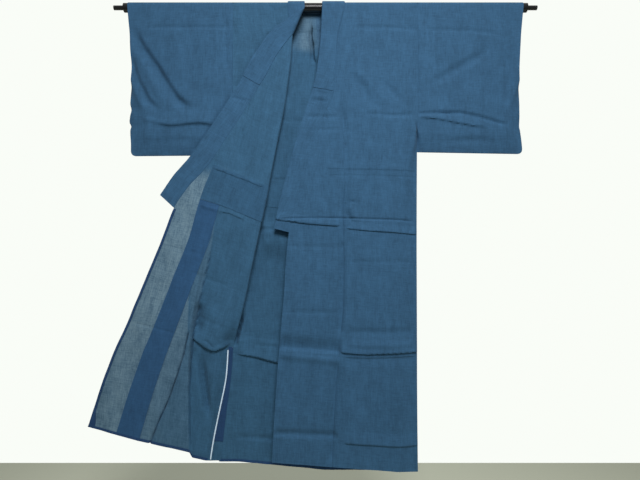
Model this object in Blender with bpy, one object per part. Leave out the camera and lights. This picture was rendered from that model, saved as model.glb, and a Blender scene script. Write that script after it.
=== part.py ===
"""Men's cotton yukata hung by its sleeves on a kimono rack's round rod.

The wearer's left front hangs straight.  The wearer's right front is rolled open along a
sloping fold, so that its inside faces forward, beyond the garment's side.

Frame: metres, +Z up, the garment's front faces -Y, and the wearer's left is at +X.
The origin is on the rod's axis, midway between the two sleeve ends.
Each cloth is a middle surface, a grid of points, that Solidify thickens to both sides.
"""
import math

import bmesh
import bpy
from mathutils import Vector

# ---------------------------------------------------------------- driving sizes, metres
CLOTH = 0.0011              # wall of one layer of cloth
COLLAR_CLOTH = 0.0016       # the collar is a folded strip
SEAM = 0.0005               # clear gap between two sewn pieces
LAID = 0.0003               # clear gap between two layers that lie on each other
COVER_LAID = 0.0009         # the same between the collar and its cover
LIFT = CLOTH + LAID         # from a cloth's middle to that of one lying on it

ROD_RADIUS = 0.015
ROD_HALF_LENGTH = 0.672
PEG_RADIUS = 0.0075
PEG_LENGTH = 0.034
ROD_SIDES = 24

ROD_CLEARANCE = 0.0007      # clear gap between the rod and the cloth over it
SHOULDER_RADIUS = ROD_RADIUS + ROD_CLEARANCE + CLOTH / 2
COLLAR_RADIUS = ROD_RADIUS + ROD_CLEARANCE + CLOTH + COVER_LAID + COLLAR_CLOTH / 2

ARMHOLE = 0.42              # how far down the sleeve is sewn to the body
WRIST_OPENING = 0.25
SLEEVE_TAPER = 0.005        # front and back close on each other by this, top to bottom
SLEEVE_FREE = 0.0065        # gap from the body to the sleeve below the armhole
CLOSE_RUN = 0.03            # length over which an opening closes to its sewn stretch
PINCH_WIDTH = 0.07          # width over which front and back come together at a side seam
HALF_SEAM = (CLOTH + SEAM) / 2

NECK_LEFT = 0.065           # where each neck seam crosses the shoulder
NECK_RIGHT = -0.125
BACK_NECK_DOWN = 0.013
FRONT_TUCKS = {"left": (0.557, 0.668), "right": (0.614, 0.725)}   # top and lower edge
BACK_TUCK = (0.581, 0.680)
SIDE_ALLOWANCE = 0.027
ALLOWANCE_SHARE = 0.45      # share of the overlap panel that the spare front cloth lines,
SPARE_WIDTH = 0.064         # but never narrower than this
COVER_END = 0.284           # how far down the hanging front the collar's cover reaches,
OPEN_COVER_END = 0.325      # and down the open one
COLLAR_END = 0.768
ROLL_START = 0.105          # where the rolled fold leaves the collar
ROLL_END = 1.110            # where it meets the side seam
ROLL_RADIUS = 0.0058
FOLD_TOP = (-0.0652, 0.0)   # the fold crosses the collar from its free edge, x and z,
FOLD_LEAVES = (-0.1079, -ROLL_START)    # to its seam


# ---------------------------------------------------------------- tables of sections
class Table:
    """Rows of named columns, read smoothly between the rows by the first column."""

    def __init__(self, columns, *rows):
        names = columns.split()
        self.keys = [row[0] for row in rows]
        self.values = {name: [row[i] for row in rows] for i, name in enumerate(names)}

    def slope(self, values, i):
        """Monotone slope at an inner row, so that no column swings past its rows."""
        before = (values[i] - values[i - 1]) / (self.keys[i] - self.keys[i - 1])
        after = (values[i + 1] - values[i]) / (self.keys[i + 1] - self.keys[i])
        return 0.0 if before * after <= 0 else 2 * before * after / (before + after)

    def read(self, name, key):
        values = self.values[name]
        key = min(max(key, self.keys[0]), self.keys[-1])
        i = max(n for n in range(len(self.keys) - 1) if self.keys[n] <= key)
        span = self.keys[i + 1] - self.keys[i]
        t = (key - self.keys[i]) / span
        chord = (values[i + 1] - values[i]) / span
        start = chord if i == 0 else self.slope(values, i)
        end = chord if i == len(self.keys) - 2 else self.slope(values, i + 1)
        return ((1 + 2 * t) * (1 - t) ** 2 * values[i] + t * (1 - t) ** 2 * span * start
                + t * t * (3 - 2 * t) * values[i + 1] - t * t * (1 - t) * span * end)


# Side seams, by the distance down from the rod's axis.
SIDES = Table(
    "down  left_x  right_x",
    (0.00, 0.3060, -0.3060),
    (0.42, 0.2980, -0.3000),
    (0.80, 0.2900, -0.2950),
    (1.10, 0.2855, -0.2880),
    (1.19, 0.2840, -0.2930),
    (1.31, 0.2825, -0.3080),
    (1.49, 0.2810, -0.3270),
)
CENTRE_BACK = Table(
    "down  x",
    (0.00, -0.0330),
    (0.30, -0.0180),
    (0.60, -0.0060),
    (1.50, -0.0040),
)
# Sleeve ends and lower edges.
CUFFS = Table(
    "down  left_x  right_x",
    (0.00, 0.6560, -0.6560),
    (0.12, 0.6420, -0.6450),
    (0.25, 0.6340, -0.6375),
    (0.40, 0.6300, -0.6310),
    (0.51, 0.6330, -0.6230),
)
SLEEVE_DROP = {"left": (0.493, 0.499), "right": (0.503, 0.506)}   # at the body, at the cuff
CUFF_CORNER = 0.010

# The left front: neck and overlap seams, front edge, and how far the cloth stands forward.
LEFT_FRONT = Table(
    "down    neck_x   overlap_x  edge_x",
    (0.000,  0.0645,  0.0645,    0.0645),
    (0.120,  0.0385,  0.0385,    0.0385),
    (0.240,  0.0310,  0.0310,    0.0310),
    (0.284,  0.0275,  0.0275,    0.0275),
    (0.325,  0.0180,  0.0185,    0.0180),
    (0.367,  0.0040,  0.0440,    0.0040),
    (0.407, -0.0110,  0.0555,   -0.0110),
    (0.490, -0.0410,  0.0585,   -0.0410),
    (0.557, -0.0560,  0.0590,   -0.0560),
    (0.637, -0.0690,  0.0580,   -0.0690),
    (0.701, -0.0910,  0.0565,   -0.0910),
    (0.768, -0.1140,  0.0560,   -0.1140),
    (0.875, -0.1140,  0.0565,   -0.1250),
    (0.969, -0.1140,  0.0560,   -0.1300),
    (1.122, -0.1140,  0.0430,   -0.1420),
    (1.273, -0.1140,  0.0300,   -0.1530),
    (1.490, -0.1140,  0.0180,   -0.1640),
)
LEFT_COLLAR_EDGE = Table(
    "down    x        z",
    (0.000, -0.0090,  0.0000),
    (0.120, -0.0150, -0.1210),
    (0.240, -0.0300, -0.2400),
    (0.284, -0.0410, -0.2860),
    (0.325, -0.0520, -0.3180),
    (0.407, -0.0770, -0.3950),
    (0.490, -0.1010, -0.4780),
    (0.557, -0.1180, -0.5410),
    (0.637, -0.1380, -0.6200),
    (0.701, -0.1520, -0.6820),
    (0.768, -0.1640, -0.7440),
)
# Rows across the fronts tilt, higher towards the middle, from the hips down.
ROW_TILT = Table("down  tilt", (0.00, 0.0), (0.40, 0.0), (0.72, 0.070), (1.49, 0.072))
# Folds across the hanging cloth: how far forward each row stands.
FRONT_FOLDS = Table(
    "down    left    back",
    (0.000,  0.000,  0.000),
    (0.390,  0.000,  0.000),
    (0.407,  0.0015, 0.000),
    (0.430,  0.000,  0.000),
    (0.735,  0.000,  0.000),
    (0.752,  0.0050, 0.000),
    (0.768, -0.0030, 0.000),
    (0.790,  0.000,  0.000),
    (1.085,  0.000,  0.000),
    (1.122,  0.0040, 0.003),
    (1.145, -0.0035, -0.003),
    (1.180,  0.000,  0.000),
    (1.385,  0.000,  0.000),
    (1.410,  0.0020, 0.000),
    (1.430,  0.000,  0.000),
    (1.490,  0.000,  0.000),
)

# The right front, rolled open: the fold's crest, the overlap seam and the edge beyond it.
OPEN_FRONT = Table(
    "down    fold_x   fold_z   seam_x   seam_z   edge_x   edge_z   forward",
    (0.105, -0.1079, -0.1085, -0.1079, -0.1085, -0.1079, -0.1085, 0.0275),
    (0.125, -0.1087, -0.1250, -0.1183, -0.1218, -0.1183, -0.1218, 0.0276),
    (0.192, -0.1130, -0.1920, -0.1560, -0.1750, -0.1560, -0.1750, 0.0278),
    (0.284, -0.1240, -0.2840, -0.1960, -0.2530, -0.1960, -0.2530, 0.0282),
    (0.325, -0.1290, -0.3250, -0.2180, -0.2900, -0.2180, -0.2900, 0.0285),
    (0.376, -0.1370, -0.3760, -0.2360, -0.3400, -0.2440, -0.3340, 0.0290),
    (0.459, -0.1530, -0.4590, -0.2570, -0.4190, -0.2840, -0.4030, 0.0295),
    (0.557, -0.1710, -0.5570, -0.2830, -0.5120, -0.3380, -0.4880, 0.0305),
    (0.614, -0.1810, -0.6140, -0.2970, -0.5650, -0.3680, -0.5380, 0.0310),
    (0.701, -0.1980, -0.7010, -0.3270, -0.6470, -0.4310, -0.6110, 0.0320),
    (0.768, -0.2110, -0.7680, -0.3450, -0.7130, -0.4770, -0.6810, 0.0330),
    (0.850, -0.2280, -0.8500, -0.3650, -0.7920, -0.5030, -0.7570, 0.0340),
    (0.970, -0.2520, -0.9700, -0.4080, -0.9100, -0.5460, -0.8720, 0.0350),
    (1.075, -0.2790, -1.0750, -0.4470, -1.0230, -0.5960, -1.0030, 0.0360),
    (1.110, -0.2880, -1.1000, -0.4590, -1.0560, -0.6110, -1.0420, 0.0360),
    (1.240, -0.2930, -1.1900, -0.4900, -1.1420, -0.6480, -1.1280, 0.0345),
    (1.370, -0.3083, -1.3130, -0.5270, -1.2600, -0.6850, -1.2360, 0.0335),
    (1.500, -0.3220, -1.4420, -0.5630, -1.3900, -0.7180, -1.3480, 0.0320),
)
# The open collar above the place where the fold leaves it, before it is turned over.
CROSSED_COLLAR = Table(
    "down    seam_x   free_x   free_z",
    (0.000, -0.1250, -0.0710,  0.0000),
    (0.030, -0.1225, -0.0655, -0.0335),
    (0.060, -0.1180, -0.0580, -0.0690),
    (0.085, -0.1120, -0.0520, -0.1030),
    (0.105, -0.1044, -0.0452, -0.1341),
)
OPEN_COLLAR_EDGE = Table(
    "down    x        z",
    (0.105, -0.1650, -0.0870),
    (0.150, -0.1920, -0.1150),
    (0.192, -0.2110, -0.1460),
    (0.240, -0.2330, -0.1790),
    (0.284, -0.2520, -0.2160),
    (0.325, -0.2720, -0.2580),
    (0.407, -0.3120, -0.3270),
    (0.490, -0.3570, -0.4010),
    (0.557, -0.3930, -0.4560),
    (0.637, -0.4380, -0.5240),
    (0.701, -0.4800, -0.5740),
    (0.768, -0.5220, -0.6400),
)
# The collar behind the rod: its sewn edge, then its free edge, which leans back.
NECK = Table(
    "round   seam_x   seam_y   seam_z   free_x   free_y   free_z",
    (0.0,   0.0645,  0.0088,  0.0152, -0.0090,  0.0088,  0.0152),
    (0.5,   0.0610,  0.0212,  0.0062, -0.0100,  0.0218,  0.0245),
    (1.0,   0.0460,  0.0198, -0.0085, -0.0140,  0.0310,  0.0330),
    (2.0,   0.0060,  0.0185, -0.0110, -0.0250,  0.0410,  0.0400),
    (3.0,  -0.0330,  0.0185, -0.0110, -0.0400,  0.0440,  0.0415),
    (4.0,  -0.0710,  0.0185, -0.0110, -0.0550,  0.0410,  0.0400),
    (5.0,  -0.1070,  0.0198, -0.0085, -0.0660,  0.0310,  0.0330),
    (5.5,  -0.1220,  0.0212,  0.0062, -0.0700,  0.0218,  0.0245),
    (6.0,  -0.1250,  0.0088,  0.0152, -0.0710,  0.0088,  0.0152),
)
# The second, upright fold of the open front: where it runs, and how deep its step is.
UPRIGHT_FOLD = Table(
    "down    x        step",
    (0.768, -0.3560,  0.000),
    (0.850, -0.3700,  0.004),
    (0.970, -0.4000,  0.010),
    (1.110, -0.4230,  0.014),
    (1.240, -0.4280,  0.016),
    (1.500, -0.4180,  0.018),
)
UPRIGHT_FOLD_WIDTH = 0.022
PUFF = {"down": 1.060, "run": 0.050, "forward": 0.007}

# Rows, by distance down the cloth from the rod.
LEFT_ROWS = (0.030, 0.105, 0.192, 0.284, 0.325, 0.367, 0.407, 0.430, 0.490, 0.557, 0.612,
             0.668, 0.701, 0.735, 0.752, 0.768, 0.790, 0.875, 0.969, 1.045, 1.085, 1.122,
             1.145, 1.180, 1.273, 1.385, 1.410, 1.430, 1.490)
OPEN_ROWS = (0.030, 0.060, 0.085, 0.095, 0.105, 0.125, 0.150, 0.192, 0.240, 0.284, 0.325,
             0.376, 0.430, 0.490, 0.557, 0.614, 0.668, 0.725, 0.768, 0.810, 0.850, 0.910,
             0.970, 1.030, 1.075, 1.110, 1.140, 1.180, 1.240, 1.305, 1.370, 1.435, 1.500)
OPEN_COLLAR_ROWS = (0.0, 0.015, 0.030, 0.045, 0.060, 0.072, 0.085, 0.095, 0.105)
BACK_ROWS = (0.030, 0.105, 0.192, 0.284, 0.376, 0.430, 0.490, 0.581, 0.630, 0.680,
             0.770, 0.860, 0.960, 1.050, 1.085, 1.122, 1.145, 1.180, 1.273, 1.385, 1.490)
OVERLAP_TOP = 0.325
SHOULDER_ANGLES = tuple(math.radians(22.5 * step) for step in range(9))
NECK_PLACES = tuple(0.5 * step for step in range(1, 12))

BODY_SHARES = (0.0, 0.15, 0.38, 0.62, 0.80, 0.93, 1.0)
NECK_SHARES = (0.0, 0.25, 0.5, 0.75)
BEYOND_ROLL = (0.25, 0.55, 0.80, 1.0)
FLAP_SHARES = (0.08, 0.20, 0.34, 0.47, 0.60, 0.73, 0.86, 1.0)
SPARE_SHARES = (0.0, 0.33, 0.67, 1.0)       # across the part that the spare cloth lines
BEYOND_SPARE = (0.27, 0.64, 1.0)            # and across the rest of the overlap panel
COLLAR_SHARES = (0.0, 0.03, 0.14, 0.26, 0.38, 0.50, 0.63, 0.76, 0.88, 1.0)
SLEEVE_SHARES = (0.0, 0.014, 0.05, 0.13, 0.27, 0.42, 0.58, 0.73, 0.87, 0.95, 0.986, 1.0)
SLEEVE_ROWS = (0.0, 0.008, 0.03, 0.08, 0.15, 0.25, 0.36, 0.50, 0.64, 0.78, 0.90)


# ---------------------------------------------------------------- building blocks
def smooth_step(t):
    t = min(max(t, 0.0), 1.0)
    return t * t * (3 - 2 * t)


def mix(a, b, t):
    return a + (b - a) * t


def material(name, hex_colour, roughness, metallic=0.0):
    """A Principled material from an sRGB colour."""
    found = bpy.data.materials.new(name)
    found.use_nodes = True
    shader = found.node_tree.nodes["Principled BSDF"]
    channels = [int(hex_colour[i:i + 2], 16) / 255 for i in (1, 3, 5)]
    linear = [c / 12.92 if c <= 0.04045 else ((c + 0.055) / 1.055) ** 2.4 for c in channels]
    shader.inputs["Base Color"].default_value = (*linear, 1.0)
    shader.inputs["Roughness"].default_value = roughness
    shader.inputs["Metallic"].default_value = metallic
    return found


def mesh_object(name, vertices, faces, finish):
    mesh = bpy.data.meshes.new(name)
    mesh.from_pydata([tuple(v) for v in vertices], [], faces)
    made = bpy.data.objects.new(name, mesh)
    bpy.context.scene.collection.objects.link(made)
    mesh.materials.append(finish)
    return made


def join_points(made):
    """Joins points that lie in one place, such as where a fold runs out."""
    shape = bmesh.new()
    shape.from_mesh(made.data)
    bmesh.ops.remove_doubles(shape, verts=shape.verts, dist=2e-5)
    bmesh.ops.dissolve_degenerate(shape, dist=1e-5, edges=shape.edges)
    shape.to_mesh(made.data)
    shape.free()


def thicken(made, wall):
    """Gives a middle surface its wall, half to each side."""
    join_points(made)
    solid = made.modifiers.new("Wall", "SOLIDIFY")
    solid.thickness = wall
    solid.offset = 0.0
    solid.use_even_offset = True
    solid.use_quality_normals = True
    made.data.shade_smooth()


def grid_faces(rows, first=0, closed=False):
    """Faces between neighbouring rows of equal length, the points numbered from first."""
    columns = len(rows[0])
    faces = []
    for i in range(len(rows) if closed else len(rows) - 1):
        here = first + i * columns
        below = first + (i + 1) % len(rows) * columns
        faces += [(here + j, here + j + 1, below + j + 1, below + j) for j in range(columns - 1)]
    return faces


def cloth(name, grids, finish, wall=CLOTH, closed=False):
    """One cloth made of one or more grids, which join where their points meet."""
    vertices = []
    faces = []
    for rows in grids:
        faces += grid_faces(rows, len(vertices), closed)
        vertices += [point for row in rows for point in row]
    made = mesh_object(name, vertices, faces, finish)
    thicken(made, wall)
    return made


def facing_out(made):
    shape = bmesh.new()
    shape.from_mesh(made.data)
    bmesh.ops.recalc_face_normals(shape, faces=shape.faces)
    shape.to_mesh(made.data)
    shape.free()


def wrap(name, near, far, finish, turned=None):
    """A cloth given by the grids of its two faces, both cut into the same triangles.

    From the column where a strip turns back on itself, the cuts run the other way.
    """
    columns = len(near[0])
    count = len(near) * columns
    rim = list(range(columns - 1)) + list(range(columns - 1, count - 1, columns))
    rim += list(range(count - 1, count - columns, -1))
    rim += list(range(count - columns, 0, -columns))
    rim_quads = [(a, a + count, b + count, b) for a, b in zip(rim, rim[1:] + rim[:1])]
    faces = []
    for a, b, c, d in grid_faces(near):
        if turned and a % columns >= turned:
            a, b, c, d = b, c, d, a
        for face in ((a, b, c), (a, c, d)):
            faces += [face, tuple(count + corner for corner in reversed(face))]
    vertices = [point for grid in (near, far) for row in grid for point in row]
    made = mesh_object(name, vertices, faces + rim_quads, finish)
    facing_out(made)
    made.data.shade_smooth()
    made.data.set_sharp_from_angle(angle=math.radians(60))


def normals(rows):
    """Which way each point moves to lift the faces round it off by one unit, square."""
    columns = len(rows[0])
    faces = {}
    for i in range(len(rows) - 1):
        for j in range(columns - 1):
            across = rows[i + 1][j + 1] - rows[i][j]
            other = rows[i + 1][j] - rows[i][j + 1]
            faces[i, j] = across.cross(other).normalized()
    found = []
    for i in range(len(rows)):
        line = []
        for j in range(columns):
            near = [faces[key] for key in ((i - 1, j - 1), (i - 1, j), (i, j - 1), (i, j))
                    if key in faces]
            mean = sum(near, Vector()).normalized()
            square = sum(mean.dot(normal) for normal in near) / len(near)
            line.append(mean / max(square, 0.6))
        found.append(line)
    return found


def lifted(rows, distance):
    """The grid moved off along its normals."""
    return [[point + normal * distance for point, normal in zip(row, line)]
            for row, line in zip(rows, normals(rows))]


# ---------------------------------------------------------------- the hanging body
def half_gap(from_side, down):
    """How far front and back stand from the rod's plane, and how they meet at the side."""
    closed = smooth_step((down - (ARMHOLE - CLOSE_RUN)) / CLOSE_RUN)
    open_share = mix(1.0, smooth_step(from_side / PINCH_WIDTH), closed)
    return mix(HALF_SEAM, SHOULDER_RADIUS, open_share)


def row_height(down, x, side_x):
    """Height of a front row: it rises from the side seam towards the middle."""
    return -down + ROW_TILT.read("tilt", down) * abs(side_x - x)


def left_front_point(down, x):
    side_x = SIDES.read("left_x", down)
    forward = half_gap(side_x - x, down) + FRONT_FOLDS.read("left", down) * smooth_step(
        (side_x - x) / PINCH_WIDTH)
    return Vector((x, -forward, row_height(down, x, side_x)))


def left_front_row(down):
    inner = LEFT_FRONT.read("overlap_x", down) + SEAM / 2
    side_x = SIDES.read("left_x", down)
    return [left_front_point(down, mix(inner, side_x, share)) for share in BODY_SHARES]


def overlap_shares(width):
    """Shares of an overlap's width: across the lined part, then across the rest."""
    lined = min(max(ALLOWANCE_SHARE, SPARE_WIDTH / max(width, 1e-6)), 0.9)
    return [lined * share for share in SPARE_SHARES] + [mix(lined, 1.0, share)
                                                        for share in BEYOND_SPARE]


def left_overlap_row(down):
    seam = LEFT_FRONT.read("overlap_x", down) - SEAM / 2
    edge = LEFT_FRONT.read("edge_x", down)
    if down <= COLLAR_END:
        edge += SEAM / 2
    return [left_front_point(down, mix(seam, edge, share))
            for share in overlap_shares(seam - edge)]


def shoulder_row(angle, inner, side_x):
    """A row over the rod, from its front (0) to its back (180 degrees)."""
    return [Vector((mix(inner, side_x, share), -SHOULDER_RADIUS * math.cos(angle),
                    SHOULDER_RADIUS * math.sin(angle))) for share in BODY_SHARES]


def back_point(down, x, side_x, hem_rise):
    """A point on the back, whose rows rise a little to a side that is drawn up."""
    forward = FRONT_FOLDS.read("back", down)
    centre = CENTRE_BACK.read("x", down)
    across = (x - centre) / (side_x - centre)
    height = -down + hem_rise * across * down / BACK_ROWS[-1]
    y = half_gap(abs(side_x - x), down) - forward * smooth_step(abs(side_x - x) / PINCH_WIDTH)
    return Vector((x, y, height))


def back_rows(side, neck_x, hem_rise):
    """The back below the shoulder: from the neck's side out, then from the middle to it."""
    outer = []
    inner = []
    direction = 1 if side == "left" else -1
    for down in BACK_ROWS:
        side_x = SIDES.read(side + "_x", down)
        centre = CENTRE_BACK.read("x", down) + direction * SEAM / 2
        outer.append([back_point(down, mix(neck_x, side_x, share), side_x, hem_rise)
                      for share in BODY_SHARES])
        inner.append([back_point(down, mix(centre, neck_x, share), side_x, hem_rise)
                      for share in (*NECK_SHARES, 1.0)])
    return outer, inner


def neck_rows(outer, inner):
    """The neckline, and the row of the back level with it beyond the neck."""
    neckline = [Vector((point.x, SHOULDER_RADIUS, -BACK_NECK_DOWN)) for point in inner[0]]
    level = [Vector((point.x, SHOULDER_RADIUS, -BACK_NECK_DOWN)) for point in outer[0]]
    return neckline, level


def left_body(finish):
    """The wearer's left: one cloth from the front hem over the shoulder to the back hem."""
    side_x = SIDES.read("left_x", 0.0)
    outer, inner = back_rows("left", NECK_LEFT, hem_rise=0.0)
    neckline, level = neck_rows(outer, inner)
    over = [shoulder_row(angle, NECK_LEFT, side_x) for angle in SHOULDER_ANGLES]
    fronts = [left_front_row(down) for down in LEFT_ROWS]
    panel = list(reversed(fronts)) + over + [level] + outer
    cloth("left_body", [panel, [neckline] + inner], finish)
    back_tuck("left", outer, inner, finish)
    return fronts


def left_overlap(finish):
    rows = [left_overlap_row(down) for down in LEFT_ROWS if down >= OVERLAP_TOP]
    cloth("left_overlap", [rows], finish)
    return rows


# ---------------------------------------------------------------- the open right front
def roll(along, radius):
    """Across a rolled fold: distance left of its crest, and distance forward."""
    quarter = math.pi * radius / 2
    if along <= -quarter:
        return radius - quarter - along, 0.0
    if along >= quarter:
        return radius - quarter + along, 2 * radius
    return radius * (1 - math.cos(along / radius)), radius * (1 + math.sin(along / radius))


def along_roll(distance, radius):
    """The length of cloth from the crest to a point this far left of it."""
    if distance >= radius:
        return distance - radius + math.pi * radius / 2
    return radius * math.acos(1 - distance / radius)


def roll_radius(down, under_width):
    """The roll opens out of the flat collar and closes as it meets the side seam."""
    return max(min(ROLL_RADIUS * smooth_step(down / 0.04), under_width / 2.6), 0.0004)


def roll_columns(length, shares):
    """Distances along a row that starts at a crest: three round it, then the given shares."""
    quarter = min(math.pi * ROLL_RADIUS / 2, length * 0.4)
    return [0.0, quarter / 2, quarter] + [mix(quarter, length, share) for share in shares]


def across_fold(x, z):
    """Where a flat point goes, and how far forward, by the fold that crosses the collar."""
    top = Vector(FOLD_TOP)
    run = (Vector(FOLD_LEAVES) - top).normalized()
    right = Vector((-run.y, run.x))
    flat = Vector((x, z)) - top
    spare = (math.pi / 2 - 1) * ROLL_RADIUS
    left, forward = roll(flat.dot(right) - spare, ROLL_RADIUS)
    placed = top + run * flat.dot(run) - right * left
    return placed.x, placed.y, forward


def under_row(down):
    """The part of the right front that still faces forward, crest to side seam."""
    side_x = SIDES.read("right_x", down)
    if down < ROLL_START:
        inner = CROSSED_COLLAR.read("seam_x", down) - SEAM / 2
        row = []
        for left in roll_columns(inner - side_x, BEYOND_ROLL):
            x, z, forward = across_fold(inner - left, -down)
            row.append(Vector((x, -half_gap(x - side_x, down) - forward, z)))
        return row
    crest = OPEN_FRONT.read("fold_x", down)
    width = crest - side_x
    radius = roll_radius(down, width)
    row = []
    for along in roll_columns(along_roll(width, radius), BEYOND_ROLL):
        left, forward = roll(-along, radius)
        x = crest - left
        row.append(Vector((x, -half_gap(x - side_x, down) - forward, -down)))
    return row


def open_line(down):
    """Crest, sewn edge and front edge of one row of the open front, in the XZ plane."""
    read = OPEN_FRONT.read
    return [Vector((read(part + "_x", down), 0.0, read(part + "_z", down)))
            for part in ("fold", "seam", "edge")]


def flap_depth(down, left, x):
    """Y of the turned front, this far left of its crest or, lower down, of the side seam."""
    forward = OPEN_FRONT.read("forward", down)
    if down < ROLL_END:
        side_x = SIDES.read("right_x", down)
        crest = OPEN_FRONT.read("fold_x", down)
        radius = roll_radius(down, crest - side_x)
        rolled = half_gap(crest - side_x, down) + roll(along_roll(left, radius), radius)[1]
        settled = half_gap(crest - side_x, down) + 2 * radius
        y = rolled + (forward - settled) * smooth_step(left / 0.05)
    else:
        y = mix(HALF_SEAM, forward, smooth_step(left / 0.05))
    step = UPRIGHT_FOLD.read("step", down) if down > UPRIGHT_FOLD.keys[0] else 0.0
    beyond = (x - UPRIGHT_FOLD.read("x", down)) / UPRIGHT_FOLD_WIDTH
    y -= step * smooth_step(beyond) * smooth_step(left / 0.06)
    puffed = math.exp(-((down - PUFF["down"]) / PUFF["run"]) ** 2)
    y += PUFF["forward"] * puffed * smooth_step(left / 0.03) * math.exp(-(left / 0.08) ** 2)
    return -y


def flap_row(down):
    """The turned front from its crest, or the side seam, to the overlap seam."""
    crest, seam, _ = open_line(down)
    reach = (seam - crest).length - SEAM / 2
    if down >= ROLL_END:
        lefts = [0.0, SIDE_ALLOWANCE / 2, SIDE_ALLOWANCE]
        lefts += [mix(SIDE_ALLOWANCE, reach, share) for share in FLAP_SHARES]
    elif reach > 0:
        radius = roll_radius(down, crest.x - SIDES.read("right_x", down))
        lefts = [roll(along, radius)[0]
                 for along in roll_columns(along_roll(reach, radius), FLAP_SHARES)]
    else:
        lefts = [0.0] * (3 + len(FLAP_SHARES))
    direction = (seam - crest).normalized()
    row = []
    for left in lefts:
        point = crest + direction * left
        point.y = flap_depth(down, left, point.x)
        row.append(point)
    return row


def open_overlap_row(down):
    crest, seam, edge = open_line(down)
    reach = (seam - crest).length
    width = (edge - seam).length
    gap = SEAM / 2 if down <= COLLAR_END else 0.0
    row = []
    for share in overlap_shares(width):
        if width < 1e-6:
            beyond = 0.0
            point = seam.copy()
        else:
            beyond = SEAM / 2 + share * (width - SEAM / 2 - gap)
            point = seam + (edge - seam) / width * beyond
        point.y = flap_depth(down, reach + beyond, point.x)
        row.append(point)
    return row


def right_body(finish):
    """The wearer's right: the back, the shoulder, the under layer and the turned front."""
    side_x = SIDES.read("right_x", 0.0)
    outer, inner = back_rows("right", NECK_RIGHT, hem_rise=0.030)
    neckline, level = neck_rows(outer, inner)
    over = [shoulder_row(angle, NECK_RIGHT, side_x) for angle in SHOULDER_ANGLES]
    under = [under_row(down) for down in OPEN_ROWS if down < ROLL_END]
    tip = flap_row(ROLL_END)[0]
    under.append([tip.copy() for _ in BODY_SHARES])
    front = list(reversed(under))
    flap = [flap_row(down) for down in OPEN_ROWS if down >= ROLL_START]
    for turned, hidden in zip(flap, under[OPEN_ROWS.index(ROLL_START):]):
        turned[0] = hidden[0].copy()
    flap[0] = [flap[0][0].copy() for _ in flap[0]]
    cloth("right_body", [front + over + [level] + outer, [neckline] + inner, flap], finish)
    back_tuck("right", outer, inner, finish)
    return under, flap


def right_overlap(finish):
    rows = [open_overlap_row(down) for down in OPEN_ROWS if down >= OVERLAP_TOP]
    cloth("right_overlap", [rows], finish)
    return rows


# ---------------------------------------------------------------- collar
def collar_row(seam, free):
    return [seam.lerp(free, share) for share in COLLAR_SHARES]


def left_collar_rows():
    """Up the left front, from the collar's end to the rod."""
    rows = []
    for down in reversed([down for down in LEFT_ROWS if down <= COLLAR_END]):
        x = LEFT_FRONT.read("neck_x", down) - SEAM / 2
        y = mix(-COLLAR_RADIUS, -SHOULDER_RADIUS, smooth_step((down - COVER_END) / 0.1))
        y -= FRONT_FOLDS.read("left", down)
        height = row_height(down, x, SIDES.read("left_x", down))
        free = Vector((LEFT_COLLAR_EDGE.read("x", down), y, LEFT_COLLAR_EDGE.read("z", down)))
        rows.append(collar_row(Vector((x, y, height)), free))
    return rows


def rod_collar_rows(seam_x, free_x, angles):
    """Over the rod at one side of the neck."""
    rows = []
    for angle in angles:
        y = -COLLAR_RADIUS * math.cos(angle)
        z = COLLAR_RADIUS * math.sin(angle)
        rows.append(collar_row(Vector((seam_x, y, z)), Vector((free_x, y, z))))
    return rows


def neck_collar_rows():
    """Behind the rod."""
    rows = []
    for place in NECK_PLACES:
        seam, free = (Vector([NECK.read(f"{edge}_{axis}", place) for axis in "xyz"])
                      for edge in ("seam", "free"))
        rows.append(collar_row(seam, free))
    return rows


def open_collar_row(down):
    """Down the open front: the strip crosses the fold, then lies wholly turned."""
    gap = SEAM / 2 + 0.0016 * math.exp(-((down - ROLL_START) / 0.03) ** 2)
    row = []
    if down > ROLL_START:
        crest, _, seam = open_line(down)
        free = Vector([OPEN_COLLAR_EDGE.read("x", down), 0.0, OPEN_COLLAR_EDGE.read("z", down)])
        reach = (seam - crest).length
        width = (free - seam).length
        for share in COLLAR_SHARES:
            beyond = mix(gap, width, share)
            point = seam.lerp(free, beyond / width)
            point.y = flap_depth(down, reach + beyond, point.x)
            row.append(point)
        return row
    base = mix(COLLAR_RADIUS, SHOULDER_RADIUS, smooth_step(down / ROLL_START))
    seam = Vector((CROSSED_COLLAR.read("seam_x", down) + gap, -down))
    free = Vector([CROSSED_COLLAR.read("free_x", down), CROSSED_COLLAR.read("free_z", down)])
    for share in COLLAR_SHARES:
        x, z, forward = across_fold(*seam.lerp(free, share))
        row.append(Vector((x, -base - forward, z)))
    return row


def open_collar_downs():
    lower = [down for down in OPEN_ROWS if OPEN_COLLAR_ROWS[-1] < down <= COLLAR_END]
    return list(OPEN_COLLAR_ROWS) + lower


def collar_rows():
    front_angles = SHOULDER_ANGLES[:6]
    rows = left_collar_rows()
    rows += rod_collar_rows(LEFT_FRONT.read("neck_x", 0.0) - SEAM / 2, -0.009, front_angles)
    rows += neck_collar_rows()
    rows += rod_collar_rows(NECK_RIGHT + SEAM / 2, -0.071, list(reversed(front_angles))[:-1])
    rows += [open_collar_row(down) for down in open_collar_downs()]
    return rows


def collar(finish):
    rows = collar_rows()
    half = COLLAR_CLOTH / 2
    wrap("collar", lifted(rows, half), lifted(rows, -half), finish)
    return rows


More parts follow.
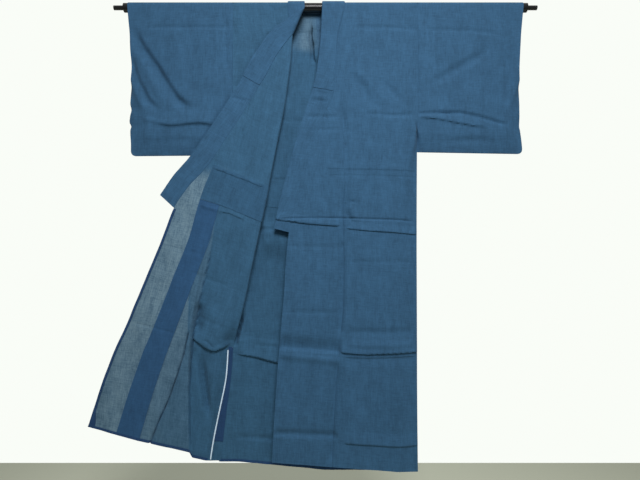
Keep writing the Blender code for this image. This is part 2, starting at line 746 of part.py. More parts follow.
def collar_cover(rows, finish):
    """A second strip round the collar's upper part: both faces and its free edge."""
    start = len([down for down in LEFT_ROWS if COVER_END < down <= COLLAR_END])
    end = len(rows) - len([down for down in open_collar_downs() if down > OPEN_COVER_END])
    faces = []
    for space in (COVER_LAID, COVER_LAID + CLOTH):
        grid = []
        for row, line in list(zip(rows, normals(rows)))[start:end]:
            beyond = (row[-1] - row[-2]).normalized() * (space + LAID)
            held = row[1:] + [row[-1] + beyond]
            lift = [n * (COLLAR_CLOTH / 2 + space) for n in line[1:] + line[-1:]]
            outer = [p + n for p, n in zip(held, lift)]
            inner = [p - n for p, n in zip(held, lift)]
            grid.append(outer + list(reversed(inner)))
        faces.append(grid)
    wrap("collar_cover", *faces, finish, turned=len(COLLAR_SHARES))


# ---------------------------------------------------------------- sleeves
def sleeve(side, finish):
    """A flat tube round the rod, sewn shut below the wrist, along the bottom and inside."""
    sign = 1 if side == "left" else -1
    bottom_in, bottom_out = SLEEVE_DROP[side]

    def section(share):
        """Front rows from the bottom up, over the rod, and down the back."""
        bottom = mix(bottom_in, bottom_out, share)
        from_cuff = (1 - share) * 0.33
        bottom -= CUFF_CORNER * max(0.0, 1 - from_cuff / 0.012) ** 2
        front = []
        for part in SLEEVE_ROWS:
            down = bottom * (1 - part)
            start = abs(SIDES.read(side + "_x", down)) + SEAM
            start += SLEEVE_FREE * smooth_step((down - ARMHOLE) / CLOSE_RUN + 0.5)
            end = abs(CUFFS.read(side + "_x", down))
            end -= CUFF_CORNER * max(0.0, 1 - (bottom - down) / 0.012) ** 2
            x = mix(start, end, share)
            gap = SHOULDER_RADIUS - SLEEVE_TAPER * down / bottom
            gap *= min(1.0, (bottom - down) / 0.06) ** 0.7
            sewn = smooth_step((down - WRIST_OPENING) / CLOSE_RUN)
            gap *= mix(1.0, min(1.0, (end - x) / 0.06) ** 0.7, sewn)
            joined = smooth_step((down - ARMHOLE) / CLOSE_RUN)
            gap *= mix(1.0, min(1.0, (x - start) / 0.06) ** 0.7, joined)
            front.append((x, gap, -down))
        x_top = mix(abs(SIDES.read(side + "_x", 0.0)) + SEAM, abs(CUFFS.read(side + "_x", 0.0)),
                    share)
        ring = [Vector((sign * x, -gap, z)) for x, gap, z in front]
        ring += [Vector((sign * x_top, -SHOULDER_RADIUS * math.cos(a),
                         SHOULDER_RADIUS * math.sin(a))) for a in SHOULDER_ANGLES]
        ring += [Vector((sign * x, gap, z)) for x, gap, z in reversed(front)]
        return ring

    sections = [section(share) for share in SLEEVE_SHARES]
    if side == "right":
        sections.reverse()
    cloth(side + "_sleeve", [sections], finish)


# ---------------------------------------------------------------- cloth that lies on cloth
def kept_rows(rows, downs, top, bottom=2.0):
    return [row for row, down in zip(rows, downs) if top - 1e-6 <= down <= bottom + 1e-6]


def overlap_downs(downs):
    return [down for down in downs if down >= OVERLAP_TOP]


def allowances(left_rows, open_rows, finish):
    """The front cloth's spare width, folded onto the inside of each overlap panel."""
    count = len(SPARE_SHARES)
    for side, rows, downs, lift in (("left", left_rows, LEFT_ROWS, -LIFT),
                                    ("right", open_rows, OPEN_ROWS, LIFT)):
        raised = [row[:count] for row in lifted(rows, lift)]
        below = FRONT_TUCKS[side][1] + 0.005
        cloth(side + "_allowance", [kept_rows(raised, overlap_downs(downs), below)], finish)


def side_allowance(flap, finish):
    """Both cloths' edges at the right side seam, which face forward below the roll."""
    downs = [down for down in OPEN_ROWS if down >= ROLL_START]
    raised = [row[:3] for row in lifted(flap, LIFT)]
    cloth("side_allowance", [kept_rows(raised, downs, ROLL_END)], finish)


def front_tucks(left_rows, left_fronts, open_rows, under, flap, finish):
    """The tuck across each front, which takes up its length, lies on the inside."""
    count = len(SPARE_SHARES)
    top, bottom = FRONT_TUCKS["left"]
    overlaps = kept_rows(left_rows, overlap_downs(LEFT_ROWS), top, bottom)
    fronts = kept_rows(left_fronts, LEFT_ROWS, top, bottom)
    rows = [list(reversed(overlap[1:count])) + front[:-2]
            for overlap, front in zip(overlaps, fronts)]
    cloth("left_front_tuck", [lifted(rows, LIFT)], finish)
    top, bottom = FRONT_TUCKS["right"]
    overlaps = kept_rows(open_rows, overlap_downs(OPEN_ROWS), top, bottom)
    turned = kept_rows(flap, [down for down in OPEN_ROWS if down >= ROLL_START], top, bottom)
    hidden = kept_rows(under, OPEN_ROWS, top, bottom)
    rows = [list(reversed(behind[:5])) + front[1:] + overlap[1:count]
            for behind, front, overlap in zip(hidden, turned, overlaps)]
    cloth("right_front_tuck", [lifted(rows, LIFT)], finish)


def back_tuck(side, outer, inner, finish):
    top, bottom = BACK_TUCK
    rows = [near[:-1] + far[:-2] for near, far in zip(kept_rows(inner, BACK_ROWS, top, bottom),
                                                       kept_rows(outer, BACK_ROWS, top, bottom))]
    lift = -LIFT if side == "left" else LIFT
    cloth(side + "_back_tuck", [lifted(rows, lift)], finish)


def rod(finish):
    """A turned rod with a thinner peg at each end, its ends flat."""
    profile = [(-ROD_HALF_LENGTH - PEG_LENGTH, PEG_RADIUS), (-ROD_HALF_LENGTH, PEG_RADIUS),
               (-ROD_HALF_LENGTH, ROD_RADIUS), (ROD_HALF_LENGTH, ROD_RADIUS),
               (ROD_HALF_LENGTH, PEG_RADIUS), (ROD_HALF_LENGTH + PEG_LENGTH, PEG_RADIUS)]
    vertices = []
    for x, radius in profile:
        for k in range(ROD_SIDES):
            angle = 2 * math.pi * k / ROD_SIDES
            vertices.append(Vector((x, radius * math.cos(angle), radius * math.sin(angle))))
    faces = []
    for i in range(len(profile) - 1):
        for k in range(ROD_SIDES):
            beside = (k + 1) % ROD_SIDES
            faces.append((i * ROD_SIDES + k, i * ROD_SIDES + beside,
                          (i + 1) * ROD_SIDES + beside, (i + 1) * ROD_SIDES + k))
    faces.append(tuple(reversed(range(ROD_SIDES))))
    faces.append(tuple(range((len(profile) - 1) * ROD_SIDES, len(profile) * ROD_SIDES)))
    made = mesh_object("rod", vertices, faces, finish)
    facing_out(made)
    made.data.shade_smooth()
    made.data.set_sharp_from_angle(angle=math.radians(40))


def main():
    for old in list(bpy.data.objects):
        bpy.data.objects.remove(old, do_unlink=True)
    indigo = material("indigo_cotton", "#385B79", 0.9)
    inside = material("indigo_cotton_inside", "#3E6280", 0.9)
    double = material("indigo_cotton_double", "#2C4A66", 0.9)
    lacquer = material("black_lacquer", "#15171A", 0.2)
    rod(lacquer)
    left_fronts = left_body(indigo)
    left_rows = left_overlap(indigo)
    under, flap = right_body(inside)
    open_rows = right_overlap(inside)
    front_tucks(left_rows, left_fronts, open_rows, under, flap, inside)
    collar_cover(collar(indigo), indigo)
    sleeve("left", indigo)
    sleeve("right", indigo)
    allowances(left_rows, open_rows, double)
    side_allowance(flap, double)


main()
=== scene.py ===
"""Men's cotton yukata hung by its sleeves on a kimono rack's round rod.

The left front hangs straight; the right front is rolled open along a sloping fold.
Frame: metres, +Z up, the front faces -Y, the wearer's left at +X, origin on the rod's axis.
"""
import math

import bmesh
import bpy
import numpy as np
from bpy.props import FloatProperty, StringProperty
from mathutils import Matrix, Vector


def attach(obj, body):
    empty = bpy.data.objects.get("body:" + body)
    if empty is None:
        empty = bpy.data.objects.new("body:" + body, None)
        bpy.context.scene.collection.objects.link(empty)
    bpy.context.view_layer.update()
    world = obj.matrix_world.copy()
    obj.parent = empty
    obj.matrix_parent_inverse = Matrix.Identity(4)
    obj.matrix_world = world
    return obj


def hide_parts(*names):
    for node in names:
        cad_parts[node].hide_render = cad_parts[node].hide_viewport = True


bl_info = {
    "name": "Hung Cotton Yukata",
    "version": (1, 0, 0),
    "blender": (4, 5, 0),
    "location": "3D View > Sidebar > Yukata",
    "description": "A cotton yukata hung by its sleeves on a lacquered rod, one front open",
    "category": "Object",
}

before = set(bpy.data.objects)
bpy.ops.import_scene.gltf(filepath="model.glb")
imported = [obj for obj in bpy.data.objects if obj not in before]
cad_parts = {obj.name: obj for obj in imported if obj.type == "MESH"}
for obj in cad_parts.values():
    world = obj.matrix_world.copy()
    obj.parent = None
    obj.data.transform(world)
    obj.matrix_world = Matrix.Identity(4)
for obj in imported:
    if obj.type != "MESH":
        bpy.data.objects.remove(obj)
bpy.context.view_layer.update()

# ---------------------------------------------------------------- sizes and edges
# Metres; those of the main edges and layers are the same in the solids.

# Layers of cloth, by their middle surfaces.
COLLAR_WALL = 0.0016
SHOULDER_RADIUS = 0.01625   # cloth over the rod
COLLAR_RADIUS = 0.0185      # the collar over the rod
LIFT = 0.0013               # from a cloth to one that lies on it
ON_TOP = 0.0003             # from the front to the overlap that is sewn on it
COVER_STAND = 0.0009        # between the faces of the collar and of its cover
HALF_SEAM = 0.0008          # from the middle plane to a sewn edge
TURNED_IN = 0.004           # cloth past a seam, behind the piece it is sewn to,
TURNED_DIP = (0.0012, 0.0010, 0.0004)   # and how far its columns dip there

# The hanging body.
SHOULDER_HALF = 0.306       # from the middle of the rod to a shoulder seam
NECK_LEFT = 0.065
NECK_RIGHT = -0.125
BACK_NECK_DOWN = 0.013
BACK_LENGTH = 1.490
RIGHT_HEM_RISE = 0.030      # the right back's hem is pulled up this much at the side
ARMHOLE = 0.42
CLOSE_RUN = 0.03            # height over which an open side closes
PINCH_WIDTH = 0.07          # how far from a closed side the cloth reaches its full depth,
PINCH_RUN = 0.32            # and the height over which it gets there
SEAM_ROUND = 0.003          # width of the round edge at a seam
OVERLAP_TOP = 0.325

# Tucks, allowances and hems; the pairs are from how far down to how far down.
FRONT_TUCKS = {"left": (0.557, 0.668), "right": (0.614, 0.725)}
BACK_TUCK = (0.581, 0.680)
TUCK_REACH = 0.80           # share of the way to the side seam that a tuck goes
ALLOWANCE_SHARE = 0.45      # share of the overlap that the spare cloth lines,
SPARE_WIDTH = 0.064         # but never narrower than this
SIDE_ALLOWANCE = 0.027
ALLOWANCE_ROLLED = 0.014    # how much of it the seam rolls in above
ALLOWANCE_ROWS = (1.134, 1.444)
SELVEDGE_ROWS = (1.150, 1.496)
SELVEDGE = (-0.0004, 0.0012, 0.0028)    # its columns, past the allowance's edge
EDGE_LAP = 0.0003           # a hem stops this far short of the cloth's edge
# How many LIFTs a hem stands off the cloth it is turned over.
HEM_ON_OVERLAP, HEM_BEHIND_FRONT = 1.3, 1.2
MITRE = 1.4                 # how much wider the edge's hem gets at the lower corner,
MITRE_ROWS = (1.435, 0.055)     # from this far down, over this much

# The open front, and the fold that crosses the collar: its top, and where it leaves.
OPEN_LENGTH = 1.500
ROLL_START = 0.105
ROLL_END = 1.110
ROLL_RADIUS = 0.0058
FOLD_TOP = (-0.0652, 0.0)
FOLD_LEAVES = (-0.1079, -ROLL_START)

# The collar and its cover; the ends are by how far down they are.
COLLAR_END = 0.768
COLLAR_DROP = 0.017         # its hanging end goes this much lower than its row
COLLAR_UNDER = 0.0006       # how far the open front's collar starts inside its seam
SEAM_GROOVE = 0.0016        # how deep the collar's seam lies
COVER_END = 0.284
COVER_HANG = 0.010          # the cover's hanging end is this much lower than its row
OPEN_COVER_END = 0.318

# The sleeves.
SLEEVE_WIDTH = 0.33
SLEEVE_DROP = {"left": (0.493, 0.499), "right": (0.503, 0.506)}     # inner and outer edge
WRIST_OPENING = 0.25
CUFF_CORNER = 0.010
CORNER_ROUND = 0.7
SLEEVE_TAPER = 0.005        # how much shallower it is at the bottom
SLEEVE_SEWN = 0.002         # how far it goes under the body's edge above the armhole's end,
SLEEVE_FREE = 0.0002        # and how far it stands off below
SLEEVE_TUCKED = 0.0008      # how much nearer the middle it is there
TUBE_ROUND = 0.7            # powers under 1 make its closed edges rounder

# Creases grow to their full depth over these distances, and go no deeper than a share of
# the way to the middle plane.
TOP_FREE = 0.04             # below the rod, in front,
BACK_TOP_FREE = 0.05        # and behind
EDGE_FREE = 0.012           # from a side seam
LAP_FREE = 0.008            # from a side seam, for overhanging folds
FULLEST_DENT = 0.9
FULLEST_SLEEVE_DENT = 0.88

# Rows and columns of points.
FINE_SPACING = 0.002        # between rows where the folds are small
FINE_ROWS = ((0.546, 0.582), (0.716, 0.778), (1.118, 1.168), (1.390, 1.428))
BACK_FINE_ROWS = ((1.122, 1.180),)
FLAP_ROWS = ((0.608, 0.636), (0.718, 0.742), (1.090, 1.165))
CREST_COLUMNS = 7
UNDER_COLUMNS = 26
COLLAR_COLUMNS = 26
HUNG_COLLAR_COLUMNS = 14    # as it is creased, before it gets the others' number
OVERLAP_WIDTH = 0.17        # widths that say how many columns a panel gets
SPARE_SPAN = 0.08

# The flat cloth: where the back starts, and where each panel does, so that no two show
# the same slubs.
BACK_LEVEL = -0.05
OVERLAP_FLAT, SPARE_FLAT, ALLOWANCE_FLAT, COVER_FLAT = 0.35, 0.60, 0.5, 0.2


class Table:
    """Named columns in thousandths, read smoothly between the rows by the first column."""

    def __init__(self, text):
        names, *rows = [line.split() for line in text.strip().splitlines()]
        columns = np.array(rows, dtype=float).T / 1000
        self.keys = columns[0]
        self.values = dict(zip(names, columns))

    def read(self, name, key):
        values, keys = self.values[name], self.keys
        key = np.clip(key, keys[0], keys[-1])
        i = np.clip(np.searchsorted(keys, key, side="right") - 1, 0, len(keys) - 2)
        spans = np.diff(keys)
        chords = np.diff(values) / spans
        both = chords[:-1] * chords[1:]
        total = np.where(both > 0, chords[:-1] + chords[1:], 1.0)
        inner = np.where(both > 0, 2 * both / total, 0.0)
        slopes = np.concatenate((chords[:1], inner, chords[-1:]))
        span = spans[i]
        t = (key - keys[i]) / span
        return ((1 + 2 * t) * (1 - t) ** 2 * values[i] + t * (1 - t) ** 2 * span * slopes[i]
                + t * t * (3 - 2 * t) * values[i + 1] - t * t * (1 - t) * span * slopes[i + 1])


SIDES = Table("""
down left_x right_x
   0    306    -306
 420    298    -300
 800    290    -295
1100  285.5    -288
1190    284    -293
1310  282.5    -308
1490    281    -327
""")
CENTRE_BACK = Table("""
down   x
   0 -33
 300 -18
 600  -6
1500  -4
""")
CUFFS = Table("""
down left_x right_x
   0    656    -656
 120    642    -643
 250    634  -636.5
 330    635  -639.5
 352  634.5    -635
 372    634  -638.5
 392  632.5  -639.8
 408  631.5  -633.5
 420  633.5  -636.2
 470    638  -632.5
 510  639.5  -631.5
""")
LEFT_FRONT = Table("""
down neck_x overlap_x edge_x
   0   64.5      64.5   64.5
 120   38.5      38.5   38.5
 240     31        31     31
 284   27.5      27.5   27.5
 325     18      18.5     18
 367      4        44      4
 407    -11      55.5    -11
 490    -41      58.5    -41
 557    -56        59    -56
 637    -69        58    -69
 701    -91      56.5    -91
 768   -114        56   -114
 875   -114      56.5   -125
 969   -114        56   -130
1122   -114        43   -142
1273   -114        30   -153
1490   -114        18   -164
""")
LEFT_COLLAR_EDGE = Table("""
down      x    z
   0     -9    0
 120    -15 -118
 240    -28 -230
 284  -37.5 -272
 325  -48.5 -308
 407    -75 -389
 490 -100.5 -476
 557   -118 -541
 637   -138 -620
 701   -152 -682
 768   -164 -744
""")
ROW_TILT = Table("""
down tilt
   0    0
 400    0
 720   70
1490   72
""")
OPEN_FRONT = Table("""
down fold_x fold_z seam_x seam_z edge_x edge_z forward
 105 -107.9 -108.5 -107.9 -108.5 -107.9 -108.5    27.5
 125 -108.7   -125 -118.3 -121.8 -118.3 -121.8    27.6
 192   -113   -192   -156   -175   -156   -175    27.8
 284   -124   -284   -196   -253   -196   -253    28.2
 325   -129   -325   -218   -290   -218   -290    28.5
 376   -137   -376   -236   -340   -244   -334      29
 459   -153   -459   -257   -419   -284   -403    29.5
 557   -171   -557   -283   -512   -338   -488    30.5
 614   -181   -614   -297   -565   -368   -538      31
 701   -198   -701   -327   -647   -431   -611      32
 768   -211   -768   -345   -713   -477   -681      33
 850   -228   -850   -365   -792   -503   -757      34
 970   -252   -970   -408   -910   -546   -872      35
1075   -279  -1075   -447  -1023   -596  -1003      36
1110   -288  -1100   -459  -1056   -611  -1042      36
1240   -293  -1190   -490  -1142   -648  -1128    34.5
1370 -308.3  -1313   -527  -1260   -685  -1236    33.5
1500   -322  -1442   -563  -1390   -718  -1348      32
""")
CROSSED_COLLAR = Table("""
down seam_x free_x free_z
   0   -125    -71      0
  30 -122.5  -65.5  -33.5
  60   -118    -58    -69
  85   -112    -52   -103
 105 -104.4  -45.2 -134.1
""")
OPEN_COLLAR_EDGE = Table("""
down    x    z
 105 -165  -87
 150 -192 -115
 192 -211 -146
 240 -233 -179
 284 -252 -216
 325 -272 -258
 407 -312 -327
 490 -357 -401
 557 -393 -456
 637 -438 -524
 701 -480 -574
 768 -522 -640
""")
NECK = Table("""
round seam_x seam_y seam_z free_x free_y free_z
    0   64.5    8.8   15.2     -9    8.8   15.2
  500     65   20.5    6.2    -10   21.8   24.5
 1000     62   18.8  -10.5    -14     31     33
 1400     44   18.3  -16.5    -18   35.2     36
 2000      6   18.3    -17    -25     41     40
 3000    -33   18.3    -17    -40     44   41.5
 4000    -71   18.3    -17    -55     41     40
 4600   -104   18.3  -16.5  -62.5   35.2     36
 5000   -122   18.8  -10.5    -66     31     33
 5500 -125.5   20.5    6.2    -70   21.8   24.5
 6000   -125    8.8   15.2    -71    8.8   15.2
""")
# The upright fold of the open front: where it runs, and its step.
UPRIGHT_FOLD = Table("""
down    x step
 700 -350    0
 768 -356    1
 850 -370    3
 970 -396    6
1110 -417    8
1240 -421    8
1500 -411    9
""")
UPRIGHT_FOLD_WIDTH = 0.009
# The turned front settles over these distances from its crest: its depth, its fold's step.
FLAP_SETTLES = 0.05
STEP_SETTLES = 0.06
# Creases start this far from a crest and grow over the second distance.
FLAP_CLEAR = (0.004, 0.02)
UNDER_CLEAR = (0.03, 0.02)
SEAM_CLEAR = (0.0, 0.02)
UNDER_CREASE_END = (-0.34, 0.04)    # by height under the rod
# The slanting fold beside it.
SLANTING_FOLD = Table("""
down    x
1066 -419
1126 -430
1195 -450
1269 -475
1342 -506
1440 -542
""")
HEM_STEP = {"lower": 0.016, "down": 1.20, "run": 0.28}   # lower between fold and side
# Where the turned front stands out between its two folds.
PUFF = {"down": 1.060, "run": 0.050, "forward": 0.007, "rise": 0.03, "width": 0.08}


def drawn(text):
    """Each region's lines: the numbers that shape each one, and its points x,z, metres."""
    found = {}
    for row in text.strip().splitlines():
        shape, _, points = row.partition(":")
        if not points:
            region = found.setdefault(row, [])
            continue
        points = np.array([pair.split(",") for pair in points.split()], dtype=float) / 1000
        region.append((*map(float, shape.split()), points))
    return found


# Creases, by region.  Height forward, and the widths above (or left of the way it runs)
# and below it; the share of its length over which each end runs out; its points.
# Millimetres, apart from the share.
CREASES = drawn("""
front
  -2.2 6 6 0.2 : 54,-80 180,-76 311,-83 475,-87 590,-101
  -4.6 8 10 0.15 : 44,-314 63,-424 68,-539 68,-653 64,-768
  -3.4 10 12 0.3 : 64,-206 112,-274 160,-341 199,-371
  2.6 9 9 0.3 : 100,-217 158,-284 215,-351
  -2.6 9 9 0.3 : 161,-240 216,-291 257,-341
  -2.6 5 5 0.2 : -73,-378 47,-381
  -2.8 5 5 0.2 : 118,-368 225,-375 299,-371
  -1.6 4 6 0.2 : -83,-424 47,-421
  -1.6 2.2 2.2 0.1 : 303.5,-50 303.5,-360
  -1.8 2.4 2.4 0.1 : -30,-297 8,-306
  2.2 3 3 0.2 : -46,-310 -20,-313 0,-318
  -2.6 3 3 0.2 : -48,-324 -20,-327 10,-331
  1.3 14 1.8 0.04 : 4,-549 142,-551 289,-556
  -0.7 2.5 2.5 0.1 : 4,-572 142,-574 289,-578
  -2.8 3 3 0.08 : -154,-714 -81,-711 61,-711 236,-717 289,-720
  4 6 6 0.3 : 74,-663 96,-723
  -2.4 3 3 0.25 : 61,-685 72,-705 88,-729
  -4 2.5 4 0.15 : 57,-600 57,-690 57,-790
  -3 3 3 0.25 : 65,-658 100,-658
  -8.5 22 8 0.05 : -145,-1110 -80,-1115 -18,-1119 47,-1125
  3.5 7 9 0.05 : -145,-1137 -80,-1144 47,-1156
  -3 9 9 0.08 : 64,-1066 160,-1070 284,-1066
  2.4 8 8 0.08 : 64,-1104 160,-1108 284,-1104
  -2.6 2 14 0.08 : 53,-1146 121,-1150 198,-1148 285,-1145
  -5 9 8 0.06 : -161,-1371 -79,-1374 37,-1380
  -1.4 5 5 0.15 : -132,-800 55,-803
  -1.4 5 5 0.15 : 61,-850 287,-850
  -1.6 6 5 0.15 : -136,-1006 54,-1009
  -5.6 3.5 13 0.1 : 58,-774 57,-938 47,-1086
  -4.8 3.5 12 0.1 : 41,-1159 28,-1303 22,-1377 18,-1467
left sleeve
  -1.6 2.2 2.2 0.1 : 303.5,-50 303.5,-360
  -2.2 6 6 0.2 : 310,-83 475,-87 590,-101
  -5.4 5 5 0.1 : 289,-368 435,-365 499,-378 563,-398 595,-408
  -5 11 12 0.3 : 324,-281 406,-230 506,-172 546,-131
  -4 12 12 0.3 : 592,-138 598,-257 587,-365
  -2.6 8 8 0.3 : 368,-461 497,-454 577,-467
under
  -5 6 6 0.08 : -130,-14 -166,-85 -194,-114 -213,-145 -235,-178 -254,-215 -274,-257 -300,-300
right sleeve
  -5 6 6 0.1 : -304,-309 -314,-326 -359,-400 -395,-455 -425,-500
  -2.2 5 5 0.2 : -611,-76 -446,-76 -295,-76
  -11 9 15 0.2 : -640,-62 -622,-105 -600,-146 -550,-216 -508,-284 -484,-318 -452,-343 \
    -415,-352
  -9 8 12 0.25 : -644,-150 -628,-215 -611,-262 -577,-326 -534,-364
  2.6 9 9 0.3 : -622,-150 -584,-230 -550,-298 -512,-345
  2.2 6 6 0.3 : -600,-381 -551,-395 -515,-404
  -3 3 3 0.25 : -328,-4 -324,-87 -324,-250
  -1.8 9 9 0.3 : -581,-464 -485,-454 -404,-461
flap
  -2.4 3 3 0.25 : -293,-4 -297,-40 -301,-85
  -13 13 8 0.3 : -394,-970 -398,-1040 -392,-1078
  4 14 14 0.35 : -362,-960 -345,-1040 -320,-1090
  -3 3 3 0.3 : -372,-1086 -342,-1119
  -2.5 3 3 0.3 : -322,-1094 -342,-1119
  -15 10 7 0.3 : -388,-1124 -376,-1210 -352,-1330
  -7 2 2.2 0.06 : -357,-800 -365.5,-850 -378.5,-910 -391.5,-970 -406.5,-1067 -414.5,-1159 \
    -416.5,-1240 -414.5,-1287 -409,-1423
  -7 2.2 2 0.06 : -420,-1060 -432.5,-1126 -452.5,-1195 -477.5,-1269 -508.5,-1342 -540,-1420
  5 10 12 0.3 : -345,-1150 -338,-1240 -350,-1330
  -1.8 3 5 0.15 : -420,-880 -360,-905 -296,-925
  -1.6 3 5 0.15 : -398,-1018 -352,-1034 -300,-1060
  -0.9 3 3 0.2 : -339,-498 -279,-504
  -2.6 3 3 0.1 : -301,-319 -256,-333
  -1.6 2.5 2.5 0.1 : -354,-438 -325,-452
  -2.8 9 9 0.3 : -160,-197 -195,-330 -235,-462 -262,-559
  -1.2 7 7 0.3 : -205,-314 -251,-429 -294,-546
  -3 11 11 0.3 : -250,-744 -279,-860 -308,-968
  -2.4 9 9 0.3 : -294,-735 -317,-838 -334,-938
  -0.9 4 4 0.2 : -492,-801 -376,-832
  -0.9 4 4 0.2 : -596,-1036 -454,-1072
back
  -12 6 5 0.25 : -50.5,-55 -48,-104 -43.5,-150 -42,-190
  14 30 40 0.25 : -210,-772 -150,-767 -90,-782
  11 24 20 0.15 : -90,-60 -113,-192 -137,-376 -171,-557 -211,-768 -236,-900
  -18 6 7 0.25 : -262,-1000 -271,-1045 -281,-1090 -292,-1140
  -1.5 2 2 0.1 : -290,-578 -193,-581 285,-584
  -5.2 14 4 0.08 : -131,-1166 20,-1150 160,-1142 284,-1139
  2 6 6 0.1 : -319,-1092 -224,-1098 -129,-1111
  -1.5 7 7 0.3 : -85,-208 -94,-380 -129,-548
  -1.4 10 10 0.3 : -218,-794 -235,-938 -240,-1064
  -1.4 10 10 0.3 : -200,-1204 -212,-1311 -223,-1431
  -4.4 4 9 0.08 : -292,-748 -120,-739 60,-742 288,-751
  -3.6 9 4 0.1 : -300,-1392 -80,-1405 120,-1398 281,-1408
  -1.3 5 5 0.2 : -300,-84 -120,-78 90,-80 300,-86
  3.4 11 11 0.3 : -262,-150 -196,-262 -150,-352
  3.4 11 11 0.3 : 254,-140 190,-248 138,-361
  -1.6 6 6 0.2 : -286,-377 -100,-384 92,-379 290,-372
  1.6 12 12 0.3 : 130,-800 146,-960 138,-1090
  1.8 12 12 0.3 : -66,-1190 -54,-1310 -60,-1440
left sleeve back
  1.4 6 6 0.2 : 310,-86 470,-83 600,-94
  4 10 10 0.3 : 338,-300 420,-231 531,-150
  -3.4 9 9 0.3 : 380,-302 466,-252 552,-188
right sleeve back
  1.4 6 6 0.2 : -600,-80 -450,-85 -310,-79
  4.6 10 10 0.3 : -590,-120 -548,-240 -482,-322
  -3.8 9 9 0.3 : -548,-110 -500,-232 -430,-310
""")
# Folds that hang over the cloth below them.  Forward, how far they hang over, the width
# they turn in and the height over which they fade above, millimetres; then as above.
LAPS = drawn("""
front
  5.5 2.6 7 24 0.05 : -162,-714 -113,-720 -65,-727 -14,-731 46,-735
  4.4 1.4 6 24 0.06 : 62,-744 172,-754 235,-758 300,-762
  7 2 7 46 0.03 : 46,-1129 121,-1136 198,-1133 290,-1130
  5 0.8 8 36 0.06 : 52,-1402 164,-1409 249,-1413 288,-1412
back
  12 4 10 60 0.2 : -46,-30 -43,-66 -39,-104 -34,-150 -32,-195
  8 2 8 46 0.05 : -326,-1128 -280,-1135 -223,-1147 -128,-1172
flap
  10 4 12 66 0.24 : -424,-1076 -392,-1096 -372,-1112 -350,-1121 -334,-1121 -310,-1112 \
    -286,-1092
  6 0.3 5 34 0.12 : -419,-1066 -430,-1126 -450,-1195 -475,-1269 -506,-1342 -520,-1380
  2.4 1.3 4 18 0.1 : -357,-554 -309,-570 -261,-589 -195,-615
  2.4 1.6 4 16 0.12 : -401,-672 -341,-691 -306,-697 -253,-720
right sleeve
  8 1.8 16 48 0.22 : -556,-392 -533,-404 -505,-409 -486,-408 -454,-404 -406,-400 -346,-409
left sleeve
  5 1.6 9 26 0.14 : 296,-379 370,-388 430,-400 480,-410 530,-414
left sleeve back
  5 1.6 10 30 0.2 : 320,-392 410,-388 520,-404
right sleeve back
  5.6 1.6 12 34 0.2 : -570,-416 -470,-402 -360,-408
""")
# Soft unevenness: each wave's height as a share, its lengths across and down in
# millimetres, and its phase.
RIPPLES = (
    (0.50, 118, 610, 0.4), (0.34, 74, 350, 2.1), (0.30, 260, 143, 4.4),
    (0.22, 49, 212, 1.3), (0.16, 187, 61, 5.2), (0.12, 33, 124, 3.0),
)


# ---------------------------------------------------------------- points and grids
def smooth_step(t):
    t = np.clip(t, 0.0, 1.0)
    return t * t * (3 - 2 * t)


def clear(distance, start_and_run):
    """Grows from 0 to 1, from a distance and over a run."""
    start, run = start_and_run
    return smooth_step((distance - start) / run)


def mix(a, b, t):
    return a + (b - a) * t


def point_grid(x, y, z):
    return np.stack(np.broadcast_arrays(x, y, z), axis=-1).astype(float)


def spaced(start, end, spacing, fine=()):
    """Places from start to end, closer together inside the fine stretches."""
    places = [start]
    while places[-1] < end - 1e-6:
        here = places[-1]
        inside = any(low <= here <= high for low, high in fine)
        places.append(here + (FINE_SPACING if inside else spacing))
    places = np.array(places)
    return start + (places - start) * (end - start) / (places[-1] - start)


def column(values):
    return np.asarray(values, float)[:, None]


def rows_down(start, end, sizes, fine=()):
    """How far down each row of a piece lies."""
    return column(spaced(start, end, sizes.spacing, fine))


def shares(width, spacing):
    return np.linspace(0.0, 1.0, max(int(round(width / spacing)), 2) + 1)[None, :]


def lengths(points):
    """The length along each row of a grid, from its first point."""
    steps = np.linalg.norm(np.diff(points, axis=1), axis=2)
    return np.concatenate((np.zeros((len(points), 1)), np.cumsum(steps, axis=1)), axis=1)


def normals(grid):
    """The unit direction that each point of a grid faces, scaled so walls keep their width."""
    across = grid[1:, 1:] - grid[:-1, :-1]
    other = grid[1:, :-1] - grid[:-1, 1:]
    faces = np.cross(across, other)
    faces /= np.maximum(np.linalg.norm(faces, axis=2, keepdims=True), 1e-12)
    total = np.zeros_like(grid)
    for rows in (slice(None, -1), slice(1, None)):
        for columns in (slice(None, -1), slice(1, None)):
            total[rows, columns] += faces
    return total / np.maximum(np.linalg.norm(total, axis=2, keepdims=True), 1e-9)


# ---------------------------------------------------------------- creases
def beside(x, z, line, run_out):
    """Each point's distance above a line, which way is below it, and how the line runs out."""
    nearest = np.full(x.shape, 1e9)
    side, along, below_x, below_z = (np.zeros(x.shape) for _ in range(4))
    passed = 0.0
    for (x0, z0), (x1, z1) in zip(line[:-1], line[1:]):
        run = math.hypot(x1 - x0, z1 - z0)
        run_x, run_z = (x1 - x0) / run, (z1 - z0) / run
        held = np.clip((x - x0) * run_x + (z - z0) * run_z, 0.0, run)
        distance = np.hypot(x - x0 - held * run_x, z - z0 - held * run_z)
        closer = distance < nearest
        turn = run_x * (z - z0) - run_z * (x - x0)
        nearest = np.where(closer, distance, nearest)
        side = np.where(closer, np.where(turn < 0, -1.0, 1.0), side)
        along = np.where(closer, passed + held, along)
        below_x = np.where(closer, run_z, below_x)
        below_z = np.where(closer, -run_x, below_z)
        passed += run
    along /= passed
    ends = smooth_step(along / run_out) * smooth_step((1 - along) / run_out)
    return nearest * side, below_x, below_z, ends


